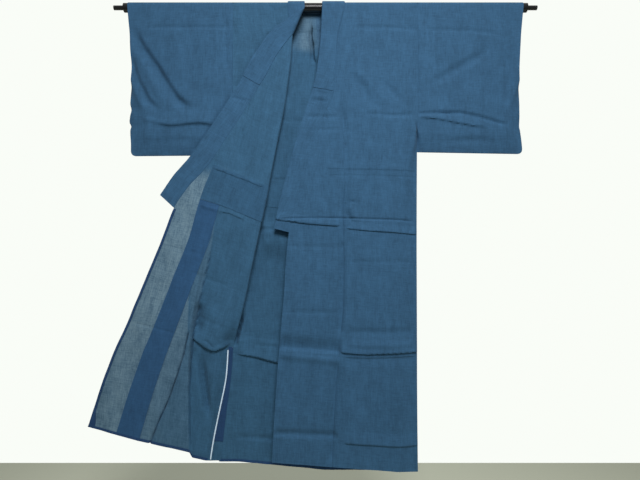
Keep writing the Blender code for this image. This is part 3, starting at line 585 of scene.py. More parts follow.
def crease(x, z, height, above, below, run_out, line):
    """How far one crease pushes each point forward, metres."""
    distance, _, _, ends = beside(x, z, line, run_out)
    width = np.where(distance > 0, above, below) / 1000
    t = np.clip(np.abs(distance) / (2.2 * width), 0.0, 1.0)
    return height / 1000 * (1 - t * t) ** 3 * ends


def lap(x, z, forward, over, width, above, run_out, line):
    """One fold that hangs over the cloth below it: its push forward, and its shifts."""
    distance, below_x, below_z, ends = beside(x, z, line, run_out)
    turned = np.clip(distance * 1000 / width + 0.5, 0.0, 1.0)
    fading = 1 - np.clip(distance * 1000 / above, 0.0, 1.0)
    push = forward / 1000 * smooth_step(turned) * fading * ends
    shift = -over / 1000 * np.sin(2 * math.pi * turned) * ends
    return push, below_x * shift, below_z * shift


def laps(region, x, z, sizes):
    """The shifts across and up, and the push forward, of a region's overhanging folds."""
    x, z = np.broadcast_arrays(x, z)
    total = [np.zeros(x.shape) for _ in range(3)]
    for shape in LAPS.get(region, ()):
        total = [a + b * sizes.fold_depth for a, b in zip(total, lap(x, z, *shape))]
    return total


def relief(region, x, z, sizes):
    """How far forward the creases and the unevenness of one region push each point."""
    x, z = np.broadcast_arrays(x, z)
    total = np.zeros(x.shape)
    shift = sum(ord(letter) for letter in region) * 0.37
    for height, across, down, phase in RIPPLES:
        wave = x * 2000 * math.pi / across + z * 2000 * math.pi / down
        total += height * np.sin(wave + phase + shift + 0.8 * np.sin(z * 9 + phase * 2))
    total *= sizes.unevenness
    for shape in CREASES.get(region, ()):
        total += crease(x, z, *shape)
    return total * sizes.fold_depth


# ---------------------------------------------------------------- the hanging body
def half_gap(from_side, down):
    """How far the cloth hangs from the garment's middle plane."""
    closed = smooth_step((down - (ARMHOLE - CLOSE_RUN)) / CLOSE_RUN)
    pinch = mix(SEAM_ROUND, PINCH_WIDTH, smooth_step((down - ARMHOLE + CLOSE_RUN) / PINCH_RUN))
    open_share = mix(1.0, smooth_step(from_side / pinch), closed)
    return mix(HALF_SEAM * smooth_step(from_side / SEAM_ROUND), SHOULDER_RADIUS, open_share)


def row_height(down, x, side_x):
    return -down + ROW_TILT.read("tilt", down) * np.abs(side_x - x)


def left_front(down, x, sizes, dip=0.0):
    """Points of the left front: they keep to the rod's width, and close at the side seam."""
    side_x = SIDES.read("left_x", down)
    gap = half_gap(side_x - x, down)
    z = row_height(down, x, side_x)
    push = relief("front", x, z, sizes) * smooth_step(down / TOP_FREE)
    push *= smooth_step((side_x - x) / EDGE_FREE)
    push = np.maximum(push, -FULLEST_DENT * (gap - HALF_SEAM))
    lapped, shift_x, shift_z = laps("front", x, z, sizes)
    push = push + lapped * smooth_step((side_x - x) / LAP_FREE)
    return point_grid(x + shift_x, -(gap + push) + dip, z + shift_z)


def back_points(side, down, x, sizes):
    side_x = SIDES.read(side + "_x", down)
    centre = CENTRE_BACK.read("x", down)
    rise = RIGHT_HEM_RISE if side == "right" else 0.0
    z = -down + rise * (x - centre) / (side_x - centre) * down / BACK_LENGTH
    gap = half_gap(np.abs(side_x - x), down)
    push = relief("back", x, z, sizes) * smooth_step(down / BACK_TOP_FREE)
    push *= smooth_step(np.abs(side_x - x) / EDGE_FREE)
    lapped, shift_x, shift_z = laps("back", x, z, sizes)
    push = np.minimum(push + lapped, FULLEST_DENT * (gap - HALF_SEAM))
    return point_grid(x + shift_x, gap - push, z + shift_z)


def with_turned_in(inner, outer, across):
    """Columns from a little past the inner edge, and how far each dips behind."""
    past = inner - np.array([[TURNED_IN, 0.0006]])
    x = np.concatenate((past, mix(inner, outer, across)), axis=1)
    dip = np.zeros(x.shape[1])
    dip[:3] = TURNED_DIP
    return x, dip[None, :]


def back_grids(side, across, sizes):
    """The back below the shoulder: out from the neck's side, and the part below the neck."""
    sign, neck_x = (1, NECK_LEFT) if side == "left" else (-1, NECK_RIGHT)
    down = rows_down(BACK_NECK_DOWN + 0.004, BACK_LENGTH, sizes, BACK_FINE_ROWS)
    side_x = SIDES.read(side + "_x", down)
    inner_x = mix(CENTRE_BACK.read("x", down), neck_x, shares(0.09, sizes.spacing * 0.6))
    outer = back_points(side, down, mix(neck_x, side_x, across), sizes)
    inner = back_points(side, down, inner_x, sizes)
    v = BACK_LEVEL - np.concatenate(([[BACK_NECK_DOWN]], down))
    grids = []
    for grid, top_x in ((outer, mix(neck_x, SIDES.read(side + "_x", 0.0), across)),
                        (inner, inner[:1, :, 0])):
        whole = np.concatenate((point_grid(top_x, SHOULDER_RADIUS, -BACK_NECK_DOWN), grid))
        grids.append(on_cloth(whole, SHOULDER_HALF - sign * whole[..., 0], v))
    return grids


def on_cloth(points, u, v):
    """A grid with each point's place on the flat cloth, in metres."""
    u, v = np.broadcast_to(u, points.shape[:2]), np.broadcast_to(v, points.shape[:2])
    return points, u, v


def shoulder_grid(x, dip=0.0):
    """Over the rod, from its front to its back."""
    angle = column(np.radians(np.linspace(0.0, 180.0, 15)))
    radius = SHOULDER_RADIUS - dip
    return point_grid(x, -radius * np.cos(angle), radius * np.sin(angle)), angle


def below_shoulder(over):
    """The row where the cloth that goes over the rod meets the back."""
    lower = over[-1:].copy()
    lower[..., 2] = -BACK_NECK_DOWN
    return lower


def left_body_grids(sizes):
    down = rows_down(0.006, BACK_LENGTH, sizes, FINE_ROWS)
    side_x = SIDES.read("left_x", down)
    across = shares(0.24, sizes.spacing)
    x, dip = with_turned_in(LEFT_FRONT.read("overlap_x", down), side_x, across)
    front = left_front(down, x, sizes, dip * smooth_step((down - 0.37) / 0.05))
    top_x, dip = with_turned_in(np.array([[NECK_LEFT]]), SIDES.read("left_x", 0.0), across)
    over, angle = shoulder_grid(top_x, dip)
    return [on_cloth(front, side_x - x, down),
            on_cloth(np.concatenate((front[:1], over)), SHOULDER_HALF - top_x,
                     np.concatenate((down[:1], -SHOULDER_RADIUS * angle))),
            on_cloth(np.concatenate((over[-1:], below_shoulder(over))),
                     SHOULDER_HALF - over[-1:, :, 0],
                     np.array([[BACK_LEVEL], [BACK_LEVEL - BACK_NECK_DOWN]])),
            *back_grids("left", across, sizes)]


def left_edges(down):
    return LEFT_FRONT.read("overlap_x", down), LEFT_FRONT.read("edge_x", down)


def left_panel(down, start, end, across, back, sizes):
    """A part of the left front between two edges, moved back a little: its x and points."""
    x = mix(start, end, across)
    points = left_front(down, x, sizes)
    points[..., 1] += back
    return x, points


# ---------------------------------------------------------------- the open right front
def roll(along, radius):
    """Across a rolled fold: distance left of its crest, and distance forward."""
    quarter = math.pi * radius / 2
    turned = along / radius
    left = np.where(along <= -quarter, radius - quarter - along,
                    np.where(along >= quarter, radius - quarter + along,
                             radius * (1 - np.cos(turned))))
    forward = np.where(along <= -quarter, 0.0,
                       np.where(along >= quarter, 2 * radius, radius * (1 + np.sin(turned))))
    return left, forward


def along_roll(distance, radius):
    curved = radius * np.arccos(1 - np.clip(distance / radius, 0.0, 1.0))
    return np.where(distance >= radius, distance - radius + math.pi * radius / 2, curved)


def under_roll(down):
    """How wide the part under the roll is, and the roll's radius."""
    width = np.maximum(OPEN_FRONT.read("fold_x", down) - SIDES.read("right_x", down), 1e-5)
    wide = np.minimum(ROLL_RADIUS * smooth_step(down / 0.04), width / 2.6)
    return width, np.maximum(wide, 0.0004)


def roll_columns(length, count):
    """Distances along each row from a crest: close together round it, then even."""
    quarter = np.minimum(math.pi * ROLL_RADIUS / 2, length * 0.4)
    near = quarter * np.linspace(0.0, 1.0, CREST_COLUMNS)[None, :]
    rest = mix(quarter, length, np.linspace(0.0, 1.0, count + 1)[None, 1:])
    return np.concatenate((near, rest), axis=1)


def across_fold(x, z):
    """Where a flat point goes, and how far forward, by the fold that crosses the collar."""
    top = np.array(FOLD_TOP)
    run = np.array(FOLD_LEAVES) - top
    run /= np.linalg.norm(run)
    right = np.array((-run[1], run[0]))
    flat = np.stack(np.broadcast_arrays(x, z), axis=-1) - top
    spare = (math.pi / 2 - 1) * ROLL_RADIUS
    left, forward = roll(flat @ right - spare, ROLL_RADIUS)
    placed = top + (flat @ run)[..., None] * run - left[..., None] * right
    return placed[..., 0], placed[..., 1], forward


def under_points(down, sizes):
    """The part of the right front that still faces forward, crest to side seam."""
    side_x = SIDES.read("right_x", down)

    def placed(x, z, lefts, forward, share):
        free = clear(x - side_x, SEAM_CLEAR) * clear(lefts, UNDER_CLEAR)
        push = relief("under", x, z, sizes) * free * share
        return point_grid(x, -half_gap(x - side_x, down) - forward - push, z)

    inner = CROSSED_COLLAR.read("seam_x", down)
    lefts = roll_columns(inner - side_x, UNDER_COLUMNS)
    x, z, forward = across_fold(inner - lefts, -down)
    upper = placed(x, z, lefts, forward, 1.0)
    crest = OPEN_FRONT.read("fold_x", down)
    width, radius = under_roll(down)
    lefts, forward = roll(-roll_columns(along_roll(width, radius), UNDER_COLUMNS), radius)
    lower = placed(crest - lefts, -down, lefts, forward, clear(-down, UNDER_CREASE_END))
    return np.where((down < ROLL_START)[..., None], upper, lower)


def open_part(part, down):
    return OPEN_FRONT.read(part + "_x", down), OPEN_FRONT.read(part + "_z", down)


def flap_points(down, lefts, crest, direction, sizes):
    """Points of the turned front, by their distance left of its crest, with its creases."""
    x = crest[0] + direction[0] * lefts
    z = crest[1] + direction[1] * lefts
    forward = OPEN_FRONT.read("forward", down)
    width, radius = under_roll(down)
    gap = half_gap(width, down)
    rolled = gap + roll(along_roll(lefts, radius), radius)[1]
    settled = smooth_step(lefts / FLAP_SETTLES)
    upper = rolled + (forward - gap - 2 * radius) * settled
    lower = mix(HALF_SEAM * smooth_step(lefts / SEAM_ROUND), forward, settled)
    y = np.where(down < ROLL_END, upper, lower)
    beyond = smooth_step((x - UPRIGHT_FOLD.read("x", down)) / UPRIGHT_FOLD_WIDTH)
    y = y - UPRIGHT_FOLD.read("step", down) * beyond * smooth_step(lefts / STEP_SETTLES)
    puffed = PUFF["forward"] * np.exp(-((down - PUFF["down"]) / PUFF["run"]) ** 2)
    puffed = puffed * smooth_step(lefts / PUFF["rise"])
    y = y + puffed * np.exp(-(lefts / PUFF["width"]) ** 2)
    free = clear(lefts, FLAP_CLEAR)
    lapped, shift_x, shift_z = laps("flap", x, z, sizes)
    y = y + (relief("flap", x, z, sizes) + lapped) * free
    lower = HEM_STEP["lower"] * smooth_step((down - HEM_STEP["down"]) / HEM_STEP["run"]) * beyond
    return point_grid(x + shift_x * free, -y, z + shift_z * free - lower)


def towards(start, end):
    """The unit direction from one place to another in each row, and how far it is."""
    run = np.hypot(end[0] - start[0], end[1] - start[1])
    safe = np.maximum(run, 1e-9)
    return ((end[0] - start[0]) / safe, (end[1] - start[1]) / safe), run


def past_seam(down, reach, beyond, start, end, sizes):
    """Points of the turned front past a seam that lies a given reach from its crest."""
    direction, width = towards(start, end)
    lefts = reach + beyond(width)
    origin = (start[0] - direction[0] * reach, start[1] - direction[1] * reach)
    return flap_points(down, lefts, origin, direction, sizes), lefts


def flap_line(down):
    """Crest, unit direction to the overlap seam, and the distance to it."""
    crest = open_part("fold", down)
    return crest, *towards(crest, open_part("seam", down))


def allowance_seen(down):
    """How much of the side seam's allowance faces forward: the seam rolls it in above."""
    return mix(SIDE_ALLOWANCE - ALLOWANCE_ROLLED, SIDE_ALLOWANCE, clear(down, (1.25, 0.24)))


def crossing(crest, direction, run, fold_x):
    """How far left of the crest each row meets a fold that is given by its x at a height."""
    left = run * 0.6
    for _ in range(6):
        x = fold_x(-crest[1] - direction[1] * left)
        left = np.clip((x - crest[0]) / np.minimum(direction[0], -0.2), 0.0, run)
    return left


def flap_grid(down, sizes, reach_past=TURNED_IN):
    """The turned front from its crest, its columns closer together at the two folds."""
    crest, direction, run = flap_line(down)
    _, radius = under_roll(down)
    count = int(0.17 / sizes.spacing)
    along = roll_columns(along_roll(run, radius), count)
    lefts = np.where(down < ROLL_END, roll(along, radius)[0], roll_columns(run, count))
    upright = crossing(crest, direction, run, lambda _: UPRIGHT_FOLD.read("x", down))
    slanting = crossing(crest, direction, run, lambda level: SLANTING_FOLD.read("x", level))
    lefts = np.sort(np.concatenate((lefts, upright + np.linspace(-0.010, 0.0085, 12),
                                    slanting + np.linspace(-0.005, 0.005, 6)), axis=1), axis=1)
    lefts = np.clip(lefts, 0.0, run)
    points = flap_points(down, lefts, crest, direction, sizes)
    past = flap_points(down, run + reach_past, crest, direction, sizes)
    past[..., 1] += TURNED_DIP[0]
    return (np.concatenate((points, past), axis=1),
            np.concatenate((lefts, run + reach_past), axis=1))


def on_flap(down, share, lift, sizes):
    """A strip of the turned front by its side seam, lifted towards the viewer."""
    crest, direction, _ = flap_line(down)
    lefts = share(allowance_seen(down))
    points = flap_points(down, lefts, crest, direction, sizes) - np.array((0.0, lift, 0.0))
    return on_cloth(points, ALLOWANCE_FLAT - lefts, down)


def spare_share(width):
    """How much of an overlap's width the spare cloth lines."""
    return np.clip(SPARE_WIDTH / np.maximum(width, 1e-6), ALLOWANCE_SHARE, 0.9)


def spare_reach(down):
    """The same, for rows of the open front."""
    return spare_share(towards(open_part("seam", down), open_part("edge", down))[1])


def overlap_grid(down, across, sizes):
    """The overlap panel of the open front, from its seam to its edge."""
    run = flap_line(down)[2]
    return past_seam(down, run, lambda width: across * width,
                     open_part("seam", down), open_part("edge", down), sizes)


def right_body_grids(sizes):
    rolled = spaced(ROLL_START, ROLL_END - 0.001, sizes.spacing, FLAP_ROWS)
    down = column(np.concatenate((spaced(0.006, ROLL_START, sizes.spacing)[:-1], rolled)))
    under = under_points(down, sizes)
    across = shares(1.0, 1 / (under.shape[1] - 1))
    over, angle = shoulder_grid(mix(NECK_RIGHT, -SHOULDER_HALF, across))
    front = np.concatenate((below_shoulder(over), over[::-1], under))
    v = np.concatenate(([[BACK_LEVEL - BACK_NECK_DOWN]], -SHOULDER_RADIUS * angle[::-1], down))
    lower = spaced(ROLL_END, OPEN_LENGTH, sizes.spacing, FLAP_ROWS)
    down = column(np.concatenate((rolled, lower)))
    flap, lefts = flap_grid(down, sizes)
    hidden = under_points(down[down[:, 0] < ROLL_END], sizes)
    flap[:len(hidden), 0] = hidden[:, 0]
    return [on_cloth(front, lengths(front), v), *back_grids("right", across, sizes),
            on_cloth(flap, -lefts, down)]


# ---------------------------------------------------------------- collar
def strip(seam, free, count=COLLAR_COLUMNS):
    share = np.linspace(0.0, 1.0, count)[None, :, None]
    return seam[:, None, :] + (free - seam)[:, None, :] * share


def hanging_collar(sizes):
    """The collar on the left front, from its end up to the rod."""
    down = spaced(0.0, COLLAR_END, sizes.spacing, FINE_ROWS)[::-1]
    x = LEFT_FRONT.read("neck_x", down)
    z = row_height(down, x, SIDES.read("left_x", down))
    z = z - COLLAR_DROP * clear(down, (0.70, 0.068))
    y = -mix(COLLAR_RADIUS, SHOULDER_RADIUS, smooth_step((down - COVER_END) / 0.1))
    free = np.stack((LEFT_COLLAR_EDGE.read("x", down), y, LEFT_COLLAR_EDGE.read("z", down)), 1)
    points = strip(np.stack((x, y, z), 1), free, HUNG_COLLAR_COLUMNS)
    push = relief("front", points[..., 0], points[..., 2], sizes)
    lapped, shift_x, shift_z = laps("front", points[..., 0], points[..., 2], sizes)
    push = push * smooth_step(down / TOP_FREE)[:, None] + lapped
    points += point_grid(shift_x, -push, shift_z)
    points[:, 0, 1] += SEAM_GROOVE * smooth_step((down - COVER_END) / 0.03)
    old, new = np.linspace(0, 1, HUNG_COLLAR_COLUMNS), np.linspace(0, 1, COLLAR_COLUMNS)
    return np.stack([np.stack([np.interp(new, old, row[:, k]) for k in range(3)], 1)
                     for row in points])


def crossed_collar(sizes):
    """The collar from the rod down, turned over along the fold that crosses it."""
    down = spaced(0.0, ROLL_START, sizes.spacing)
    base = mix(COLLAR_RADIUS, SHOULDER_RADIUS, smooth_step(down / ROLL_START))
    seam = np.stack((CROSSED_COLLAR.read("seam_x", down), -down), 1)
    free = np.stack((CROSSED_COLLAR.read("free_x", down), CROSSED_COLLAR.read("free_z", down)), 1)
    flat = strip(seam, free)
    x, z, forward = across_fold(flat[..., 0], flat[..., 1])
    return point_grid(x, -base[:, None] - forward, z)


def open_collar(sizes):
    """The collar on the front that is rolled open, below the fold that crosses it."""
    down = column(spaced(ROLL_START, COLLAR_END, sizes.spacing)[1:])
    start = open_part("edge", down)
    reach = towards(open_part("fold", down), start)[1]
    share = np.linspace(0.0, 1.0, COLLAR_COLUMNS)[None, :]
    end = (OPEN_COLLAR_EDGE.read("x", down), OPEN_COLLAR_EDGE.read("z", down))
    points, _ = past_seam(down, reach, lambda width: mix(-COLLAR_UNDER, width, share),
                          start, end, sizes)
    points[:, 0, 1] += SEAM_GROOVE
    return points


def collar_grid(sizes):
    """The collar's middle surface, from its left end up, round the neck and down the right."""
    angles = np.radians(np.linspace(0.0, 112.5, 12))[1:]
    over = []
    for place, turned in ((0.0, angles), (6.0, angles[::-1])):
        y, z = -COLLAR_RADIUS * np.cos(turned), COLLAR_RADIUS * np.sin(turned)
        over.append(strip(*(np.stack((np.full(len(turned), NECK.read(edge, place)), y, z), 1)
                            for edge in ("seam_x", "free_x"))))
    place = np.linspace(0.1, 5.9, 59)
    neck = strip(*(np.stack([NECK.read(f"{edge}_{axis}", place) for axis in "xyz"], 1)
                   for edge in ("seam", "free")))
    return np.concatenate((hanging_collar(sizes), over[0], neck, over[1],
                           crossed_collar(sizes), open_collar(sizes)))


# ---------------------------------------------------------------- sleeves
def cuff_corner(from_edge):
    """How much the round lower corner takes off, by the distance from the other edge."""
    inward = np.clip(1 - from_edge / CUFF_CORNER, 0.0, 1.0)
    return CUFF_CORNER * (1 - np.sqrt(1 - inward ** 2)) * CORNER_ROUND


def sleeve_grid(side, sizes):
    """A flat tube round the rod, shut below the wrist, along the bottom and inside."""
    sign = 1 if side == "left" else -1
    across = shares(SLEEVE_WIDTH, sizes.spacing * 0.9)
    edge = np.array([[0.003, 0.008]])
    across = np.concatenate((across[:, :1], edge, across[:, 1:-1], 1 - edge[:, ::-1],
                             across[:, -1:]), 1)
    bottom = mix(*SLEEVE_DROP[side], across) - cuff_corner((1 - across) * SLEEVE_WIDTH)
    parts = np.concatenate(([0.0, 0.002, 0.005], spaced(0.01, 0.985, sizes.spacing * 1.8)))
    down = bottom * (1 - column(parts))
    start = np.abs(SIDES.read(side + "_x", down))
    free = smooth_step((down - ARMHOLE) / CLOSE_RUN + 0.5)
    start = start - SLEEVE_SEWN * (1 - free) + SLEEVE_FREE * free
    end = np.abs(CUFFS.read(side + "_x", down)) - cuff_corner(bottom - down)
    x = mix(start, end, across)
    gap = SHOULDER_RADIUS - SLEEVE_TAPER * down / bottom
    gap = gap - SLEEVE_TUCKED * (1 - smooth_step((x - start) / 0.004))
    gap = gap * np.minimum(1.0, (bottom - down) / 0.06) ** TUBE_ROUND
    for opens, from_edge, pinched, run in ((WRIST_OPENING, end - x, (0.002, 0.06), 0.15),
                                           (ARMHOLE, x - start, (SEAM_ROUND, 0.03), 0.10)):
        pinch = mix(*pinched, smooth_step((down - opens) / run))
        shut = smooth_step((down - opens) / CLOSE_RUN)
        gap = gap * mix(1.0, np.clip(from_edge / pinch, 0.0, 1.0) ** TUBE_ROUND, shut)
    close = smooth_step(gap / 0.004)
    faces = []
    for place, way in ((side + " sleeve", 1), (side + " sleeve back", -1)):
        lapped, shift_x, shift_z = laps(place, sign * x, -down, sizes)
        push = relief(place, sign * x, -down, sizes) + lapped
        push = push * smooth_step(down / TOP_FREE) * way
        held = np.maximum(gap + push * close, gap * (1 - FULLEST_SLEEVE_DENT))
        faces.append(point_grid(sign * x + shift_x * close, -way * held, shift_z * close - down))
    top = mix(np.abs(SIDES.read(side + "_x", 0.0)) - SLEEVE_SEWN,
              np.abs(CUFFS.read(side + "_x", 0.0)), across)
    over, angle = shoulder_grid(sign * top)
    u = np.concatenate((x, np.broadcast_to(top, over.shape[:2]), x[::-1]))
    v = np.concatenate((down, -SHOULDER_RADIUS * np.broadcast_to(angle, over.shape[:2]),
                        BACK_LEVEL - down[::-1]))
    return np.concatenate((faces[0], over, faces[1][::-1])), u, v


# ---------------------------------------------------------------- meshes
SAME_PLACE = 3e-5           # points closer than this are one
NO_LENGTH = 1e-5
SHARP_ANGLE = math.radians(55)


def new_mesh(name, grids):
    """A mesh of grids, each with its place on the flat cloth, joined where points meet."""
    vertices, faces, flats = [], [], []
    first = 0
    for points, u, v in grids:
        rows, columns = points.shape[:2]
        index = first + np.arange(rows * columns).reshape(rows, columns)
        faces.append(np.stack((index[:-1, :-1], index[:-1, 1:], index[1:, 1:], index[1:, :-1]),
                              axis=-1).reshape(-1, 4))
        vertices.append(points.reshape(-1, 3))
        flats.append(np.stack((u, v), axis=-1).reshape(-1, 2))
        first += rows * columns
    vertices, faces, flats = (np.concatenate(part) for part in (vertices, faces, flats))
    mesh = bpy.data.meshes.new(name)
    mesh.from_pydata(vertices.tolist(), [], faces.tolist())
    layer = mesh.uv_layers.new(name="cloth")
    layer.data.foreach_set("uv", flats[faces.reshape(-1)].reshape(-1))
    shape = bmesh.new()
    shape.from_mesh(mesh)
    bmesh.ops.remove_doubles(shape, verts=shape.verts, dist=SAME_PLACE)
    bmesh.ops.dissolve_degenerate(shape, dist=NO_LENGTH, edges=shape.edges)
    bmesh.ops.recalc_face_normals(shape, faces=shape.faces)
    shape.to_mesh(mesh)
    shape.free()
    return mesh


def thicken(context, made, wall):
    """Gives a middle surface its wall, with a crisp edge."""
    solid = made.modifiers.new("Wall", "SOLIDIFY")
    solid.thickness = wall
    solid.offset = 0.0
    solid.use_quality_normals = True
    context.view_layer.update()
    whole = bpy.data.meshes.new_from_object(made.evaluated_get(context.evaluated_depsgraph_get()))
    made.modifiers.clear()
    old, made.data = made.data, whole
    whole.name = made.name
    bpy.data.meshes.remove(old)
    whole.shade_smooth()
    whole.set_sharp_from_angle(angle=SHARP_ANGLE)


def cloth(context, name, grids, finish, node=None, wall=None, light_through=None):
    """One piece of cloth from its grids, which stands for a node of the solids."""
    made = bpy.data.objects.new(name, new_mesh(name, grids))
    context.scene.collection.objects.link(made)
    made.data.materials.append(finishes(context)[finish])
    if node:
        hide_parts(node)
    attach(made, "root")
    thicken(context, made, wall or context.scene.yukata_sizes.wall)
    places = np.empty(len(made.data.vertices) * 3)
    facing = np.empty(len(places))
    made.data.vertices.foreach_get("co", places)
    made.data.vertices.foreach_get("normal", facing)
    x, y, z = places.reshape(-1, 3).T
    share = light_through(x, facing[1::3] * (y > 0), z) if light_through else np.zeros(len(x))
    made.data.attributes.new("light_through", "FLOAT", "POINT").data.foreach_set("value", share)
    return made


# The shares below paint the light that shines through one layer of cloth into its colour, by
# place.
# Each fade is where it starts and the distance over which it grows.
LIT_PAST_SIDE, LIT_FADE = 0.004, 0.012
SLEEVE_COVERS, SLEEVE_FADE = -0.545, 0.055      # above it the sleeve is behind the front
LOW_LIGHT, LOW_START, LOW_FADE = 0.84, 0.9, 0.4
PANEL_PAST_FOLD, PANEL_FADE = 0.0050, 0.003
PANEL_LIGHT = (0.26, 0.62)      # between the two folds, and beyond the slanting one
# Painted shade: a thin dark line beside the slanting fold, where less painted light shows; its
# strength, offset and width.
FOLD_PAINTED_SHADE, FOLD_SHADE_AT, FOLD_SHADE_WIDTH = 0.95, 0.0015, 0.0025
NECK_LIGHT = {"share": 0.6, "x": 0.066, "width": 0.038, "low": 0.155, "fade": 0.03,
              "top": 0.012, "top_fade": 0.01}


def through_open_front(x, _, z):
    """Painted light that shows through one layer with nothing behind: left of the body, below the
    sleeve.
    """
    side = SIDES.read("right_x", -z)
    alone = smooth_step((side - LIT_PAST_SIDE - x) / LIT_FADE)
    alone = alone * smooth_step((SLEEVE_COVERS - z) / SLEEVE_FADE)
    return alone * mix(1.0, LOW_LIGHT, smooth_step((-z - LOW_START) / LOW_FADE))


def through_open_body(x, facing, z):
    """Painted light through the front panel beyond its upright fold, and through the back's
    inside where the neck is open.

    Facing is how far the back's cloth faces backward, and 0 for the front's.
    """
    beyond = UPRIGHT_FOLD.read("x", -z) - x
    panel = through_open_front(x, 0, z) * smooth_step((beyond + PANEL_PAST_FOLD) / PANEL_FADE)
    panel = panel * (facing == 0)
    line = SLANTING_FOLD.read("x", -z)
    panel = panel * mix(*PANEL_LIGHT, smooth_step((line - x) / 0.004 + 0.5))
    # Painted shade: the painted light is taken out along a thin line beside the slanting fold.
    dark = np.exp(-((line - FOLD_SHADE_AT - x) / FOLD_SHADE_WIDTH) ** 2)
    panel = panel * (1 - FOLD_PAINTED_SHADE * dark)
    neck = np.exp(-((x + NECK_LIGHT["x"]) / NECK_LIGHT["width"]) ** 2) * (facing < 0)
    neck = neck * smooth_step((z + NECK_LIGHT["low"]) / NECK_LIGHT["fade"])
    top = smooth_step((-z - NECK_LIGHT["top"]) / NECK_LIGHT["top_fade"])
    return panel + NECK_LIGHT["share"] * neck * top


# ---------------------------------------------------------------- materials
def linear(hex_colour):
    """An sRGB hex value, as the linear colour that shaders take."""
    parts = [int(hex_colour[i:i + 2], 16) / 255 for i in (1, 3, 5)]
    return tuple(c / 12.92 if c <= 0.04045 else ((c + 0.055) / 1.055) ** 2.4 for c in parts)


def add(tree, kind, inputs=(), **settings):
    """Adds a node; each input is given a value, or another node's output to take."""
    made = tree.nodes.new(kind)
    for name, value in settings.items():
        setattr(made, name, value)
    for name, value in dict(inputs).items():
        if isinstance(value, bpy.types.NodeSocket):
            tree.links.new(value, made.inputs[name])
        else:
            made.inputs[name].default_value = value
    return made


def shader(name, **values):
    """A material's node tree and its Principled shader, with the shader's own values set."""
    found = bpy.data.materials.new(name)
    found.use_nodes = True
    tree = found.node_tree
    main = tree.nodes["Principled BSDF"]
    for socket, value in values.items():
        main.inputs[socket.replace("_", " ")].default_value = value
    return found, tree, main


def blend(tree, share, low, high):
    """A colour between two, each a linear colour or another node's output."""
    low, high = (end if isinstance(end, bpy.types.NodeSocket) else (*end, 1.0)
                 for end in (low, high))
    # A Mix node's colours are its seventh and eighth sockets, and its third output.
    return add(tree, "ShaderNodeMix", {0: share, 6: low, 7: high}, data_type="RGBA").outputs[2]


def finish_with(tree, main, colour, height=None, strength=0.0, distance=0.0):
    """Gives the shader its colour, and its relief where there is one."""
    tree.links.new(colour, main.inputs["Base Color"])
    if height:
        bump = add(tree, "ShaderNodeBump", {"Height": height, "Strength": strength,
                                            "Distance": distance})
        tree.links.new(bump.outputs["Normal"], main.inputs["Normal"])


def object_noise(tree, scale, detail):
    place = add(tree, "ShaderNodeTexCoord").outputs["Object"]
    return add(tree, "ShaderNodeTexNoise", {"Vector": place, "Scale": scale,
                                            "Detail": detail}).outputs["Fac"]


def streaks(tree, flat, across, along):
    """Noise drawn out along the threads; across and along are a streak's size, metres."""
    held = add(tree, "ShaderNodeMapping", {"Vector": flat, "Scale": (1 / across, 1 / along, 1.0)})
    return add(tree, "ShaderNodeTexNoise", {"Vector": held.outputs["Vector"], "Scale": 1.0,
                                            "Detail": 2.0, "Roughness": 0.6},
               noise_dimensions="2D").outputs["Fac"]


# Thick and thin places of the yarn: width across and length along the warp, in metres, and
# weight.  The first three are single slubs, the others broader bands of uneven weaving.
SLUBS = ((0.0022, 0.022, 0.9), (0.0045, 0.060, 0.6), (0.016, 0.0022, 0.8),
         (0.050, 0.0050, 0.6), (0.020, 0.050, 0.7), (0.045, 0.200, 0.5))
SHADE = 0.22                # how much darker and lighter than its colour the cloth gets
LIT_COTTON = "#8FA6AE"      # one layer of it against the light, as painted light shining through it


def woven_cotton(name, hex_colour, contrast=1.0):
    """Plain-woven indigo cotton of uneven, slubby yarn, with a soft matt face.

    Yarns are about 0.7 mm apart, too fine to show, so the thick and thin places are drawn
    2 to 5 mm wide and 15 to 60 mm long, more along the warp than across it.  Where
    light_through is more than nothing the cloth is one layer against the light, and that
    light is painted into its colour: paler and greyer.
    """
    _, tree, main = shader(name, Roughness=0.86, IOR=1.53, Sheen_Weight=0.04,
                           Sheen_Roughness=0.5, Specular_IOR_Level=0.13)
    flat = add(tree, "ShaderNodeUVMap", uv_map="cloth").outputs["UV"]
    total = 0.0
    for across, along, weight in SLUBS:
        total = add(tree, "ShaderNodeMath", {0: streaks(tree, flat, across, along), 1: weight,
                                             2: total}, operation="MULTIPLY_ADD").outputs[0]
    share = add(tree, "ShaderNodeMapRange", {"Value": total, "From Min": 1.55,
                                             "From Max": 2.55}).outputs["Result"]
    dark, light = ([c * (1 + way * SHADE * contrast) for c in linear(hex_colour)]
                   for way in (-1, 1))
    through = add(tree, "ShaderNodeAttribute", attribute_name="light_through").outputs["Fac"]
    thin = add(tree, "ShaderNodeMapRange", {"Value": share, "To Min": 0.12, "To Max": 0.54})
    through = add(tree, "ShaderNodeMath", {0: through, 1: thin.outputs["Result"]},
                  operation="MULTIPLY").outputs[0]
    tint = blend(tree, through, blend(tree, share, dark, light), linear(LIT_COTTON))
    threads = add(tree, "ShaderNodeMath", {0: streaks(tree, flat, 0.0011, 0.009),
                                           1: streaks(tree, flat, 0.009, 0.0011)},
                  operation="ADD").outputs[0]
    finish_with(tree, main, tint, threads, 0.5, 0.0006)


def lacquer(name, hex_colour):
    """Black urushi lacquer on turned wood, polished: dark, deep and mirror-like."""
    _, tree, main = shader(name, Roughness=0.14, IOR=1.5, Coat_Weight=0.25,
                           Coat_Roughness=0.04)
    flow = object_noise(tree, 60.0, 2.0)
    base = linear(hex_colour)
    tint = blend(tree, flow, base, [c * 1.6 + 0.002 for c in base])
    finish_with(tree, main, tint, flow, 0.02, 0.0004)


